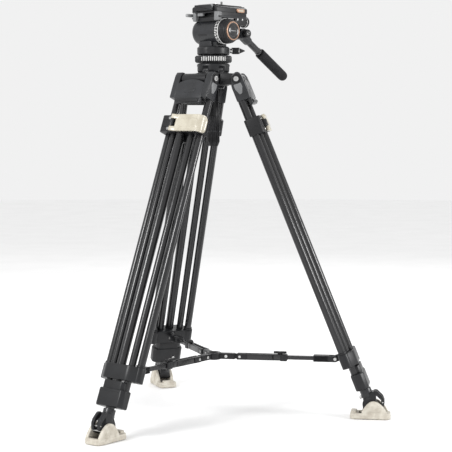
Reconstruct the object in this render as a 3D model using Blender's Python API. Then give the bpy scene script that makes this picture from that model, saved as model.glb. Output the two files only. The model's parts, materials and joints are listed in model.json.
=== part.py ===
"""Fluid-head video tripod: tandem-tube legs on a mid-level spreader, head with sliding plate.

Sizes are in millimetres. MM turns them into metres when a mesh is finished.
The stand's axis is the Z axis of the empty "stand"; the soles of the boots lie at Z = 0.
Each leg is modelled once in its own frame: X outwards, Y across, Z up along the leg,
with the origin on the hip pin. The head is modelled in a frame turned with the pan joint:
X along the tilt axis, Y backwards.
"""

from math import cos, pi, radians, sin

import bmesh
import bpy
from mathutils import Matrix, Vector

MM = 0.001

# Clearances.
GAP = 0.3            # between pieces that are fixed to each other
SLIDE = 0.4          # radial, between pieces that slide or turn on each other
TUBE_SIDES = 16
ROUND_SIDES = 28
SMOOTH_ANGLE = radians(32)

# Stand as a whole.
HIP_HEIGHT = 771.0
HIP_RADIUS = 60.0
LEG_SPLAY = 22.0
LEGS = {"front": 231.0, "right": 351.0, "rear": 111.0}

# Leg tubes: offset outwards, offset across, radius.
OUTER_TUBE_V, OUTER_TUBE_U, OUTER_TUBE_R = -8.0, 45.0, 8.5
MIDDLE_TUBE_V, MIDDLE_TUBE_U, MIDDLE_TUBE_R = -1.0, 25.5, 8.0
LOWER_TUBE_V, LOWER_TUBE_R = 5.0, 10.0
SPIGOT_R = 6.5
SPIGOT_LENGTH = 24.0

# Blocks on the leg: walls round the tubes give their half width and their inner and outer faces.
BLOCK_SIDE_WALL = 4.0
BLOCK_INNER_WALL = 3.5
BLOCK_OUTER_WALL = 2.0
BLOCK_HALF = OUTER_TUBE_U + OUTER_TUBE_R + BLOCK_SIDE_WALL
BLOCK_INNER = OUTER_TUBE_V - OUTER_TUBE_R - BLOCK_INNER_WALL
BLOCK_OUTER = LOWER_TUBE_V + LOWER_TUBE_R + BLOCK_OUTER_WALL
BRACKET_INNER = BLOCK_INNER + 3.0
BRACKET_CHAMFER = 6.0
BRACKET_BEVEL = 20.0
SLIDER_CHAMFER = 5.0
CLAMP_HALF = 38.0
CLAMP_NECK_HALF = 30.0
CLAMP_CORNER = 7.0

# Foot.
BOOT_PIVOT_HEIGHT = 25.6
BOOT_PIN_R = 3.0
BOOT_INNER, BOOT_OUTER = -50.0, 42.0
BOOT_CORNER = 12.0
BOOT_RIM = 14.0
BOOT_FLOOR = 8.0
BOOT_WALL_INSET = 1.5
FORK_HALF = 12.5
FORK_SLOT_HALF = 5.0
BOOT_CHANNEL_HALF = FORK_HALF + 1.5
BOOT_CHANNEL_INNER, BOOT_CHANNEL_OUTER = -30.0, 33.0
BOOT_HALF = BOOT_CHANNEL_HALF + 9.0
TOE_BLOCK_LENGTH = 15.5
TOE_BLOCK_BOTTOM, TOE_BLOCK_TOP = 5.0, 23.0
COLLAR_R = LOWER_TUBE_R + 3.5

# Spreader. The arm's pin sits inside the leg, so its radius follows from the height and the splay.
SPREADER_HEIGHT = 135.0
ARM_PIVOT_V = BLOCK_INNER - 12.4
HUB_PIVOT_RADIUS = 62.0
HUB_R = 18.0
HUB_HALF_HEIGHT = 8.0
TONGUE_HALF = 3.0
TONGUE_END_R = 6.0
ARM_HALF_HEIGHT = 7.0
ARM_HALF_WIDTH = 8.2
ARM_TIP = 7.0
ARM_LUG_HALF = 5.0
ARM_PIN_R = 3.0
SLOT_LENGTH = 75.0
ROD_HALF_WIDTH, ROD_HALF_HEIGHT = 5.5, 4.5
ROD_OVERLAP = 30.0
ARM_END_LENGTH = 50.0
ROD_LENGTH = 60.0
SCREW_SETBACK = 17.0


def arm_pivot_radius():
    """Radius at which the arm's pin lies when it is ARM_PIVOT_V inside the leg at the spreader's height."""
    angle = radians(LEG_SPLAY)
    return HIP_RADIUS + (ARM_PIVOT_V - sin(angle) * (SPREADER_HEIGHT - HIP_HEIGHT)) / cos(angle)


def leg_drop(height, offset):
    """Distance along the leg from the hip pin to a height, on a line offset outwards."""
    angle = radians(LEG_SPLAY)
    return (height - HIP_HEIGHT - offset * sin(angle)) / cos(angle)


ARM_PIVOT_RADIUS = arm_pivot_radius()
BRACKET_ARM_RADIUS = ARM_PIVOT_RADIUS - ARM_END_LENGTH
ARM_JOINT_RADIUS = BRACKET_ARM_RADIUS - ROD_LENGTH
SCREW_RADIUS = ARM_JOINT_RADIUS - SCREW_SETBACK

# Heights along the leg from the hip pin: the upper ones follow the hip, the lower ones the spreader and boot.
YOKE_BOTTOM = -50.0
APRON_BOTTOM = -64.0
SLIDER_TOP, SLIDER_BOTTOM = -94.0, -133.0
ARM_PIVOT_W = leg_drop(SPREADER_HEIGHT, ARM_PIVOT_V)
BRACKET_TOP = ARM_PIVOT_W + 8.9
BRACKET_BOTTOM = BRACKET_TOP - 33.0
BOOT_PIVOT_W = leg_drop(BOOT_PIVOT_HEIGHT, LOWER_TUBE_V)
CLAMP_BOTTOM = BOOT_PIVOT_W + 49.0
CLAMP_SHOULDER = CLAMP_BOTTOM + 39.0
CLAMP_TOP = CLAMP_SHOULDER + 17.0
COLLAR_BOTTOM = BOOT_PIVOT_W + 22.0
COLLAR_TOP = COLLAR_BOTTOM + 23.0
LOWER_TUBE_END = COLLAR_BOTTOM + 6.0

# Hip.
PIN_R = 5.0
PIN_HEAD_R = 8.5
PIN_HEAD = 3.7
LUG_HALF = 34.0
LUG_R = 12.5
YOKE_HALF = OUTER_TUBE_U + OUTER_TUBE_R + 0.5
YOKE_SLOT_HALF = LUG_HALF + 3.0
YOKE_INNER = OUTER_TUBE_V - OUTER_TUBE_R - 0.5
YOKE_OUTER = 13.0
YOKE_COVER_INNER = 6.0

# Lock lever.
LEVER_PIVOT_U = -20.0
LEVER_PIN_R = 2.2
LEVER_THICKNESS = 4.5
LEVER_LUG_HALF = 8.5
LEVER_BARREL_R = 4.4
LEVER_CORNER = 7.0
LEVER_SIDE_END = -4.0

# Bowl and base of the head, stacked on the hip's height.
BOWL_R = 28.5
CROWN_R = BOWL_R + 7.5
CROWN_BOTTOM, CROWN_TOP = HIP_HEIGHT - 14.0, HIP_HEIGHT + 16.0
FLANGE_R = BOWL_R + 9.0
FLANGE_TOP = CROWN_TOP + 20.0
SPINDLE_R = BOWL_R
STUD_R = 5.0
STUD_END = CROWN_BOTTOM - 57.0
TIE_DOWN_END = STUD_END - 80.0
DRAG_RING_R = SPINDLE_R + 13.5
DRAG_RING_BOTTOM = FLANGE_TOP + 2.0
DRAG_RING_TOP = DRAG_RING_BOTTOM + 16.0
HOUSING_R = SPINDLE_R + 8.5
HOUSING_TOP = DRAG_RING_TOP + 20.5
HEAD_TURN = -42.0

# Tilt drum. The tilt lock beside the neck lies under the drum, which sets the height of the tilt axis.
DRUM_R = 29.0
NECK_LEFT, NECK_HALF = -32.0, 22.0
TILT_LOCK_R = 6.5
TILT_LOCK_CLEARANCE = 1.0
TILT_LOCK_HEIGHT = HOUSING_TOP + TILT_LOCK_CLEARANCE + TILT_LOCK_R
DRUM_RISE_AT_NECK = (DRUM_R ** 2 - (NECK_HALF + GAP) ** 2) ** 0.5
TILT_HEIGHT = TILT_LOCK_HEIGHT + TILT_LOCK_R + 0.96 + DRUM_RISE_AT_NECK
DRUM_LEFT, DRUM_RIGHT = -47.0, 26.7
TILT_SHAFT_R = 12.0
SCALE_RING_WIDTH = 16.0
DIAL_WIDTH = 14.6
DIAL_R = DRUM_R - 1.0
DIAL_FACE_R = DRUM_R - 5.0
TRIM_INNER_R, TRIM_OUTER_R = 15.0, 21.0

# Platform and plate.
BED_HALF = 38.0
BED_FRONT, BED_BACK = -30.0, 74.0
BED_THICKNESS = 15.4
RAIL_WIDTH = 10.0
RAIL_HEIGHT = 11.0
PLATE_FRONT, PLATE_BACK = BED_FRONT - 6.0, BED_BACK + 6.0
PLATE_THICKNESS = 14.1
PAD_THICKNESS = 1.2
PAD_HALF, PAD_SLOT_HALF = 24.0, 6.0
CAMERA_SCREW_R = 3.1
CAMERA_SCREW_HEAD_R = 7.0
CAMERA_SCREW_Y, GUIDE_PIN_Y = 28.0, 10.0
GUIDE_PIN_R = 2.2
COUNTERBALANCE_X = 22.0
COUNTERBALANCE_R = 13.0

# Pan handle.
HANDLE_X, HANDLE_Y = 31.0, 59.0
HANDLE_HEIGHT = TILT_HEIGHT - 3.0
HANDLE_PITCH = -31.0
ROSETTE_R = 13.0
ROSETTE_THICKNESS = 13.0
HANDLE_BAR_R = 8.0
SOCKET_R = HANDLE_BAR_R + 3.5
SOCKET_START, SOCKET_END = 14.0, 32.0
HANDLE_BAR_END = 78.0
GRIP_CORE_R = 5.0
GRIP_CORE_LENGTH = 26.0
GRIP_R = HANDLE_BAR_R + 3.8
GRIP_END = 188.0


# ---------------------------------------------------------------- mesh helpers

def arc(centre, radius, start, end, steps):
    """Points on an arc in a plane; angles in degrees."""
    points = []
    for i in range(steps + 1):
        angle = radians(start + (end - start) * i / steps)
        points.append((centre[0] + radius * cos(angle), centre[1] + radius * sin(angle)))
    return points


def mesh_from(bm, name="shape"):
    """Close a bmesh into mesh data with its faces pointing out."""
    bmesh.ops.recalc_face_normals(bm, faces=bm.faces)
    mesh = bpy.data.meshes.new(name)
    bm.to_mesh(mesh)
    bm.free()
    return mesh


def turned(profile, sides=ROUND_SIDES):
    """Solid of revolution about Z from (radius, height) points; the profile may start off the axis."""
    bm = bmesh.new()
    points = [bm.verts.new((r, 0.0, z)) for r, z in profile]
    on_axis = profile[0][0] == 0.0 and profile[-1][0] == 0.0
    pairs = list(zip(points, points[1:]))
    if not on_axis:
        pairs.append((points[-1], points[0]))
    edges = [bm.edges.new(pair) for pair in pairs]
    bmesh.ops.spin(bm, geom=points + edges, axis=(0, 0, 1), cent=(0, 0, 0),
                   angle=2 * pi, steps=sides, use_duplicate=False)
    bmesh.ops.remove_doubles(bm, verts=bm.verts, dist=0.001)
    return mesh_from(bm)


def cylinder(radius, low, high, sides=TUBE_SIDES):
    """Plain cylinder along Z."""
    return turned([(0.0, low), (radius, low), (radius, high), (0.0, high)], sides)


def prism(outline, low, high, axis="Z"):
    """Outline extruded along an axis. Outline points are (x, y), (x, z) or (y, z)."""
    orders = {"X": lambda a, b, t: (t, a, b), "Y": lambda a, b, t: (a, t, b), "Z": lambda a, b, t: (a, b, t)}
    place = orders[axis]
    bm = bmesh.new()
    face = bm.faces.new([bm.verts.new(place(a, b, low)) for a, b in outline])
    grown = bmesh.ops.extrude_face_region(bm, geom=[face])
    moved = [item for item in grown["geom"] if isinstance(item, bmesh.types.BMVert)]
    bmesh.ops.translate(bm, vec=Vector(place(0.0, 0.0, high - low)), verts=moved)
    return mesh_from(bm)


def box(x0, x1, y0, y1, z0, z1):
    """Block between two corners."""
    return prism([(x0, y0), (x1, y0), (x1, y1), (x0, y1)], z0, z1)


def placed(mesh, matrix):
    """Move mesh data by a matrix and hand it back."""
    mesh.transform(matrix)
    return mesh


def shift(x=0.0, y=0.0, z=0.0):
    """Translation matrix."""
    return Matrix.Translation((x, y, z))


def along_x(mesh):
    """Turn a shape made along Z so that it lies along +X."""
    return placed(mesh, Matrix.Rotation(radians(90), 4, "Y"))


def along_y(mesh):
    """Turn a shape made along Z so that it lies along +Y."""
    return placed(mesh, Matrix.Rotation(radians(-90), 4, "X"))


def boolean(base, tools, operation):
    """Apply one Boolean for each tool mesh and return the new mesh data."""
    scene = bpy.context.scene.collection
    body = bpy.data.objects.new("blank", base)
    scene.objects.link(body)
    helpers = []
    for tool in tools:
        helper = bpy.data.objects.new("cutter", tool)
        helper.hide_render = True
        helper.display_type = "WIRE"
        scene.objects.link(helper)
        modifier = body.modifiers.new("cut", "BOOLEAN")
        modifier.operation = operation
        modifier.solver = "EXACT"
        modifier.object = helper
        helpers.append(helper)
    bpy.context.view_layer.update()
    evaluated = body.evaluated_get(bpy.context.evaluated_depsgraph_get())
    result = bpy.data.meshes.new_from_object(evaluated)
    for item in [body] + helpers:
        bpy.data.objects.remove(item, do_unlink=True)
    return result


def carve(base, *tools):
    """Base minus the tools."""
    return boolean(base, tools, "DIFFERENCE")


def fuse(base, *tools):
    """Base joined with the tools into one solid."""
    return boolean(base, tools, "UNION")


# ---------------------------------------------------------------- scene helpers

def material(name, colour, roughness, metallic=0.0):
    """Principled material."""
    made = bpy.data.materials.new(name)
    made.use_nodes = True
    shader = made.node_tree.nodes["Principled BSDF"]
    shader.inputs["Base Color"].default_value = (*colour, 1.0)
    shader.inputs["Roughness"].default_value = roughness
    shader.inputs["Metallic"].default_value = metallic
    made.diffuse_color = (*colour, 1.0)
    return made


def empty(name, parent=None, matrix=None):
    """Empty that carries a joint or a frame; its matrix is in millimetres."""
    made = bpy.data.objects.new(name, None)
    bpy.context.scene.collection.objects.link(made)
    made.parent = parent
    if matrix is not None:
        local = matrix.copy()
        local.translation = local.translation * MM
        made.matrix_local = local
    return made


def part(name, mesh, parent, surface):
    """One sub-part, from mesh data in millimetres."""
    if not mesh.get("finished"):
        mesh.transform(Matrix.Scale(MM, 4))
        mesh.shade_smooth()
        mesh.set_sharp_from_angle(angle=SMOOTH_ANGLE)
        mesh.materials.clear()
        mesh.materials.append(surface)
        mesh["finished"] = 1
    mesh.name = name
    made = bpy.data.objects.new(name, mesh)
    bpy.context.scene.collection.objects.link(made)
    made.parent = parent
    return made


def clear_scene():
    """Remove what the file opens with."""
    for item in list(bpy.data.objects):
        bpy.data.objects.remove(item, do_unlink=True)


# ---------------------------------------------------------------- leg geometry

def leg_point(v, u, w):
    """Radius, offset across and height of a point given in the leg's own frame, at rest."""
    angle = radians(LEG_SPLAY)
    return (HIP_RADIUS + v * cos(angle) - w * sin(angle), u, HIP_HEIGHT + v * sin(angle) + w * cos(angle))


def leg_local(radius, height):
    """Offset outwards and distance along the leg of a point given by radius and height."""
    angle = radians(LEG_SPLAY)
    dr, dz = radius - HIP_RADIUS, height - HIP_HEIGHT
    return cos(angle) * dr + sin(angle) * dz, -sin(angle) * dr + cos(angle) * dz


def tube(radius, low, high, spigot=False):
    """Leg tube along Z, with a thinner spigot above its upper end if asked."""
    profile = [(0.0, low), (radius, low), (radius, high), (0.0, high)]
    if spigot:
        profile[3:] = [(SPIGOT_R, high), (SPIGOT_R, high + SPIGOT_LENGTH), (0.0, high + SPIGOT_LENGTH)]
    return turned(profile, TUBE_SIDES)


def tube_bores(low, high, outer=None, middle=None, lower=None):
    """Cutters for the leg's tubes; each argument is a radial clearance, or None for no bore."""
    cutters = []
    for side in (-1, 1):
        if outer is not None:
            bore = cylinder(OUTER_TUBE_R + outer, low, high)
            cutters.append(placed(bore, shift(OUTER_TUBE_V, side * OUTER_TUBE_U)))
        if middle is not None:
            bore = cylinder(MIDDLE_TUBE_R + middle, low, high)
            cutters.append(placed(bore, shift(MIDDLE_TUBE_V, side * MIDDLE_TUBE_U)))
    if lower is not None:
        bore = cylinder(LOWER_TUBE_R + lower, low, high)
        cutters.append(placed(bore, shift(LOWER_TUBE_V)))
    return cutters


def hip_yoke_mesh():
    """Casting with two cheeks on the hip pin, an outer cover and sockets for the outer tubes."""
    inner, outer = YOKE_INNER, YOKE_OUTER
    side = [(inner, APRON_BOTTOM), (inner, -14.0), (inner + 4, 2.0), (-7.0, 11.0), (3.0, 15.0),
            (outer - 3, 13.0), (outer, 5.0), (outer + 1, -16.0), (outer + 1, APRON_BOTTOM)]
    block = prism(side, -YOKE_HALF, YOKE_HALF, "Y")
    slot = box(inner - 10, YOKE_COVER_INNER, -YOKE_SLOT_HALF, YOKE_SLOT_HALF, APRON_BOTTOM - 10, 30)
    recess = box(YOKE_COVER_INNER - 5, outer + 10, -YOKE_SLOT_HALF, YOKE_SLOT_HALF, -LUG_R - 4.0, 30)
    under = [box(inner - 10, outer + 10, y0, y1, APRON_BOTTOM - 10, YOKE_BOTTOM)
             for y0, y1 in ((-YOKE_HALF - 10, -YOKE_SLOT_HALF + 1), (YOKE_SLOT_HALF - 1, YOKE_HALF + 10))]
    bore = along_y(cylinder(PIN_R + SLIDE, -YOKE_HALF - 10, YOKE_HALF + 10))
    sockets = [placed(cylinder(SPIGOT_R + GAP, YOKE_BOTTOM - 2, YOKE_BOTTOM + SPIGOT_LENGTH + GAP),
                      shift(OUTER_TUBE_V, side_u * OUTER_TUBE_U)) for side_u in (-1, 1)]
    return carve(block, slot, recess, *under, bore, *sockets)


def tube_pair(u, v, radius, low, high, spigot=False):
    """The two tubes of a stage, either side of the leg's middle."""
    return [placed(tube(radius, low, high, spigot), shift(v, side * u)) for side in (-1, 1)]


def outer_frame_mesh():
    """Outer tubes bonded into the guide bracket, which has the spreader arm's lug on its inner face."""
    half, inner, chamfer = BLOCK_HALF, BRACKET_INNER, BRACKET_CHAMFER
    plan = [(inner, chamfer - half), (inner + chamfer, -half), (0.0, -half),
            (BLOCK_OUTER, BRACKET_BEVEL - half), (BLOCK_OUTER, half - BRACKET_BEVEL),
            (0.0, half), (inner + chamfer, half), (inner, half - chamfer)]
    block = prism(plan, BRACKET_BOTTOM, BRACKET_TOP)
    lug_r = ARM_HALF_HEIGHT + 0.5
    lug = [(BLOCK_INNER + 8, ARM_PIVOT_W + lug_r)]
    lug += arc((ARM_PIVOT_V, ARM_PIVOT_W), lug_r, 90, 270, 10)
    lug += [(BLOCK_INNER + 8, ARM_PIVOT_W - lug_r)]
    tubes = tube_pair(OUTER_TUBE_U, OUTER_TUBE_V, OUTER_TUBE_R, BRACKET_BOTTOM + 4, YOKE_BOTTOM - GAP, True)
    block = fuse(block, prism(lug, -ARM_LUG_HALF, ARM_LUG_HALF, "Y"), *tubes)
    pin_bore = placed(along_y(cylinder(ARM_PIN_R + SLIDE, -20, 20)), shift(ARM_PIVOT_V, 0, ARM_PIVOT_W))
    bores = tube_bores(BRACKET_BOTTOM - 2, BRACKET_TOP + 2, middle=SLIDE, lower=SLIDE)
    return carve(block, pin_bore, *bores)


def slider_block_mesh():
    """Block at the top of the middle tubes that clamps on the outer tubes, with the lever's lug."""
    half, inner, outer, chamfer = BLOCK_HALF, BLOCK_INNER, BLOCK_OUTER, SLIDER_CHAMFER
    plan = [(inner, chamfer - half), (inner + chamfer, -half), (outer - chamfer, -half),
            (outer, chamfer - half), (outer, half - chamfer), (outer - chamfer, half),
            (inner + chamfer, half), (inner, half - chamfer)]
    block = prism(plan, SLIDER_BOTTOM, SLIDER_TOP)
    centre = (SLIDER_TOP + SLIDER_BOTTOM) / 2
    lug = box(BLOCK_OUTER - 3, lever_pivot_v() + LEVER_BARREL_R - 0.5, LEVER_PIVOT_U - 4.5,
              LEVER_PIVOT_U + 4.0, centre - LEVER_LUG_HALF, centre + LEVER_LUG_HALF)
    skirt = box(-16.5, -6.0, -16.5, 16.5, SLIDER_BOTTOM - 17, SLIDER_BOTTOM + 2)
    block = fuse(block, lug, skirt)
    pin_bore = placed(cylinder(LEVER_PIN_R + SLIDE, centre - 20, centre + 20),
                      shift(lever_pivot_v(), LEVER_PIVOT_U))
    bores = tube_bores(SLIDER_BOTTOM - 20, SLIDER_TOP + 2, outer=SLIDE, middle=GAP, lower=SLIDE)
    return carve(block, pin_bore, *bores)


def lever_pivot_v():
    """Offset outwards of the lock lever's pin."""
    return BLOCK_OUTER + SLIDE + LEVER_BARREL_R


def lock_lever_mesh():
    """One-touch lever: a curved plate over the slider block, hinged on a pin along the leg."""
    inner = BLOCK_OUTER + SLIDE
    outer = inner + LEVER_THICKNESS
    side_inner = BLOCK_HALF + SLIDE
    corner = LEVER_CORNER
    pivot = (lever_pivot_v(), LEVER_PIVOT_U)
    plan = arc(pivot, LEVER_BARREL_R, 0, -180, 8)
    plan += [(inner, LEVER_PIVOT_U + 8)]
    plan += arc((inner - corner, side_inner - corner), corner, 0, 90, 4)
    plan += [(LEVER_SIDE_END, side_inner), (LEVER_SIDE_END, side_inner + LEVER_THICKNESS - 1.5)]
    plan += [(LEVER_SIDE_END + 4, side_inner + LEVER_THICKNESS)]
    plan += arc((outer - corner - 4, side_inner + LEVER_THICKNESS - corner - 4), corner + 4, 90, 0, 6)
    plan += [(outer, LEVER_PIVOT_U + 16)]
    centre = (SLIDER_TOP + SLIDER_BOTTOM) / 2
    half = (SLIDER_TOP - SLIDER_BOTTOM) / 2
    plate = prism(plan, centre - half, centre + half)
    notch = box(-30, 40, LEVER_PIVOT_U - 10, LEVER_PIVOT_U + 9, centre - LEVER_LUG_HALF - SLIDE,
                centre + LEVER_LUG_HALF + SLIDE)
    pin = placed(cylinder(LEVER_PIN_R, centre - half + 1, centre + half - 1), shift(*pivot))
    mesh = fuse(carve(plate, notch), pin)
    return placed(mesh, shift(-pivot[0], -pivot[1], -centre))


def middle_frame_mesh():
    """Middle tubes bonded into the foot clamp, which guides the lower tube."""
    corner = CLAMP_CORNER
    across, low = CLAMP_HALF - corner, CLAMP_BOTTOM + corner
    front = arc((across, low), corner, -90, 0, 4)
    front += [(CLAMP_HALF, CLAMP_SHOULDER), (-CLAMP_HALF, CLAMP_SHOULDER)]
    front += arc((-across, low), corner, 180, 270, 4)
    block = prism(front, BLOCK_INNER + 8, BLOCK_OUTER + 2, "X")
    neck = box(BLOCK_INNER + 10, BLOCK_OUTER, -CLAMP_NECK_HALF, CLAMP_NECK_HALF,
               CLAMP_SHOULDER - 2, CLAMP_TOP)
    tubes = tube_pair(MIDDLE_TUBE_U, MIDDLE_TUBE_V, MIDDLE_TUBE_R, CLAMP_SHOULDER - 12, SLIDER_TOP - 2)
    bores = tube_bores(CLAMP_BOTTOM - 2, CLAMP_TOP + 2, lower=SLIDE)
    return carve(fuse(block, neck, *tubes), *bores)


def foot_fork_mesh():
    """Collar on the lower tube over an arched foot casting that sits in the boot's channel."""
    boot_radius, _, boot_height = leg_point(LOWER_TUBE_V, 0.0, BOOT_PIVOT_W)
    collar = cylinder(COLLAR_R, COLLAR_BOTTOM, COLLAR_TOP, TUBE_SIDES)
    # Outline and hollow of the casting, outwards and up from the boot's pin.
    arch = [(-16.0, 25.0), (-22.0, 9.0), (-20.0, -4.0), (-10.0, -8.0), (8.0, -8.0), (22.0, -2.0),
            (28.0, 6.0), (28.0, 18.0), (24.0, 27.0), (11.0, 39.0), (2.0, 40.0)]
    hollow = [(10.0, 27.0), (20.0, 18.0), (20.0, 8.0), (12.0, 8.0), (8.0, 16.0)]
    turned_in = [[leg_local(boot_radius + x, boot_height + z) for x, z in shape] for shape in (arch, hollow)]
    body, window = [[(v - LOWER_TUBE_V, w) for v, w in shape] for shape in turned_in]
    fork = fuse(collar, prism(body, -FORK_HALF, FORK_HALF, "Y"))
    slot = box(9.0, 60.0, -FORK_SLOT_HALF, FORK_SLOT_HALF, BOOT_PIVOT_W - 40, BOOT_PIVOT_W + 14)
    bore = cylinder(LOWER_TUBE_R + GAP, LOWER_TUBE_END, COLLAR_TOP + 2)
    pin = placed(along_y(cylinder(BOOT_PIN_R + SLIDE, -30, 30)), shift(0, 0, BOOT_PIVOT_W))
    return placed(carve(fork, prism(window, -30, 30, "Y"), slot, bore, pin), shift(LOWER_TUBE_V))


def boot_mesh():
    """Rubber boot round its pin: a sole with a toe block and two arched walls beside the foot casting."""
    sole = -BOOT_PIVOT_HEIGHT
    corner = BOOT_CORNER
    plan = arc((BOOT_OUTER - corner, BOOT_HALF - corner), corner, 0, 90, 4)
    plan += arc((BOOT_INNER + corner, BOOT_HALF - corner), corner, 90, 180, 4)
    plan += arc((BOOT_INNER + corner, corner - BOOT_HALF), corner, 180, 270, 4)
    plan += arc((BOOT_OUTER - corner, corner - BOOT_HALF), corner, 270, 360, 4)
    base = prism(plan, sole, sole + BOOT_RIM)
    arch = [(-25.0, 4.0), (37.0, 4.0), (35.0, 14.0), (29.0, 24.0), (22.0, 33.0), (13.0, 40.0), (4.0, 42.5),
            (-5.0, 40.0), (-13.0, 32.0), (-20.0, 21.0)]
    outline = [(x, z + sole) for x, z in arch]
    wall_out = BOOT_HALF - BOOT_WALL_INSET
    walls = [prism(outline, -wall_out, -BOOT_CHANNEL_HALF, "Y"),
             prism(outline, BOOT_CHANNEL_HALF, wall_out, "Y")]
    toe = box(BOOT_INNER + 0.5, BOOT_INNER + 0.5 + TOE_BLOCK_LENGTH, -BOOT_CHANNEL_HALF, BOOT_CHANNEL_HALF,
              sole + TOE_BLOCK_BOTTOM, sole + TOE_BLOCK_TOP)
    channel = box(BOOT_CHANNEL_INNER, BOOT_CHANNEL_OUTER, -BOOT_CHANNEL_HALF, BOOT_CHANNEL_HALF,
                  sole + BOOT_FLOOR, sole + BOOT_RIM + 5)
    pin = along_y(cylinder(BOOT_PIN_R, -BOOT_CHANNEL_HALF - 3, BOOT_CHANNEL_HALF + 3))
    return fuse(carve(fuse(base, toe, *walls), channel), pin)


def arm_meshes():
    """Spreader arm round its outer pin: leg end with its rod, and the forked tube at the hub."""
    reach = ARM_PIVOT_RADIUS - HUB_PIVOT_RADIUS
    joint = -(ARM_PIVOT_RADIUS - ARM_JOINT_RADIUS)
    bracket = -(ARM_PIVOT_RADIUS - BRACKET_ARM_RADIUS)
    tip = -reach - ARM_TIP
    ear = ARM_LUG_HALF + SLIDE
    side = [(bracket, -ARM_HALF_HEIGHT), (0.0, -ARM_HALF_HEIGHT)]
    side += arc((0.0, 0.0), ARM_HALF_HEIGHT, -90, 90, 10)[1:]
    side += [(bracket, ARM_HALF_HEIGHT)]
    end = prism(side, -ARM_HALF_WIDTH - 2.5, ARM_HALF_WIDTH + 2.5, "Y")
    end = carve(end, box(-ARM_HALF_HEIGHT - 6, 20, -ear, ear, -20, 20))
    rod = box(joint - ROD_OVERLAP, bracket + 4, -ROD_HALF_WIDTH, ROD_HALF_WIDTH,
              -ROD_HALF_HEIGHT, ROD_HALF_HEIGHT)
    pin = along_y(cylinder(ARM_PIN_R, -ARM_HALF_WIDTH - 1, ARM_HALF_WIDTH + 1))
    tube_body = box(tip, joint, -ARM_HALF_WIDTH, ARM_HALF_WIDTH, -ARM_HALF_HEIGHT, ARM_HALF_HEIGHT)
    slot = box(tip - 5, -reach + SLOT_LENGTH, -TONGUE_HALF - 0.5, TONGUE_HALF + 0.5, -20, 20)
    socket = box(joint - ROD_OVERLAP - 1, joint + 5, -ROD_HALF_WIDTH - GAP, ROD_HALF_WIDTH + GAP,
                 -ROD_HALF_HEIGHT - GAP, ROD_HALF_HEIGHT + GAP)
    return fuse(end, rod, pin), carve(tube_body, slot, socket)


def thumb_screw_mesh():
    """Wing screw on the arm, its axis upright."""
    foot = turned([(0.0, 0.0), (5.5, 0.0), (5.5, 3.0), (0.0, 3.0)], 12)
    wing = prism([(-15.0, -3.0), (-8.0, -3.5), (8.0, -3.5), (15.0, -3.0), (15.0, 3.0), (8.0, 3.5),
                  (-8.0, 3.5), (-15.0, 3.0)], 1.5, 6.5)
    return fuse(foot, wing)


def build_legs(stand, finish):
    """All three legs with their feet and spreader arms. The legs share their meshes."""
    boot_radius, _, boot_height = leg_point(LOWER_TUBE_V, 0.0, BOOT_PIVOT_W)
    lower_low, lower_high = LOWER_TUBE_END + GAP, SLIDER_TOP - 2
    slider_centre = (SLIDER_TOP + SLIDER_BOTTOM) / 2
    shapes = {
        "hip_yoke": (hip_yoke_mesh(), "casting"),
        "outer_frame": (outer_frame_mesh(), "anodised"),
        "middle_frame": (middle_frame_mesh(), "anodised"),
        "slider_block": (slider_block_mesh(), "nylon"),
        "lower_tube": (placed(tube(LOWER_TUBE_R, lower_low, lower_high), shift(LOWER_TUBE_V)), "anodised"),
        "foot_fork": (foot_fork_mesh(), "casting"),
    }
    lever, boot, screw = lock_lever_mesh(), boot_mesh(), thumb_screw_mesh()
    arm_bracket, arm_tube = arm_meshes()
    for name, azimuth in LEGS.items():
        turn = Matrix.Rotation(radians(azimuth), 4, "Z")
        hip = empty("hip_" + name, stand, turn @ shift(HIP_RADIUS, 0, HIP_HEIGHT)
                    @ Matrix.Rotation(radians(-LEG_SPLAY), 4, "Y"))
        for piece, (mesh, surface) in shapes.items():
            part(piece + "_" + name, mesh, hip, finish[surface])
        latch = empty("lock_lever_pivot_" + name, hip, shift(lever_pivot_v(), LEVER_PIVOT_U, slider_centre))
        part("lock_lever_" + name, lever, latch, finish["cream"])
        ankle = empty("boot_pivot_" + name, stand, turn @ shift(boot_radius, 0, boot_height))
        part("boot_" + name, boot, ankle, finish["cream_rubber"])
        elbow = empty("arm_pivot_" + name, stand, turn @ shift(ARM_PIVOT_RADIUS, 0, SPREADER_HEIGHT))
        part("arm_bracket_" + name, arm_bracket, elbow, finish["casting"])
        part("arm_tube_" + name, arm_tube, elbow, finish["anodised"])
        knob = empty("thumb_screw_axis_" + name, elbow,
                     shift(SCREW_RADIUS - ARM_PIVOT_RADIUS, 0, ARM_HALF_HEIGHT + GAP))
        part("thumb_screw_" + name, screw, knob, finish["nylon"])


def build_spreader_hub(stand, finish):
    """Hub with three thin tongues that stand in the arms' slots."""
    high = HUB_HALF_HEIGHT
    hub = turned([(0.0, -high), (HUB_R - 2, -high), (HUB_R, 2 - high), (HUB_R, high - 2), (HUB_R - 2, high),
                  (0.0, high)], 24)
    tongues = []
    for azimuth in LEGS.values():
        side = arc((HUB_PIVOT_RADIUS, 0.0), TONGUE_END_R, -90, 90, 6)
        side = [(HUB_R - 5, -TONGUE_END_R), *side, (HUB_R - 5, TONGUE_END_R)]
        tongues.append(placed(prism(side, -TONGUE_HALF, TONGUE_HALF, "Y"),
                              Matrix.Rotation(radians(azimuth), 4, "Z")))
    centre = empty("hub_slide", stand, shift(0, 0, SPREADER_HEIGHT))
    part("spreader_hub", fuse(hub, *tongues), centre, finish["casting"])


# ---------------------------------------------------------------- crown and bowl

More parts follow.
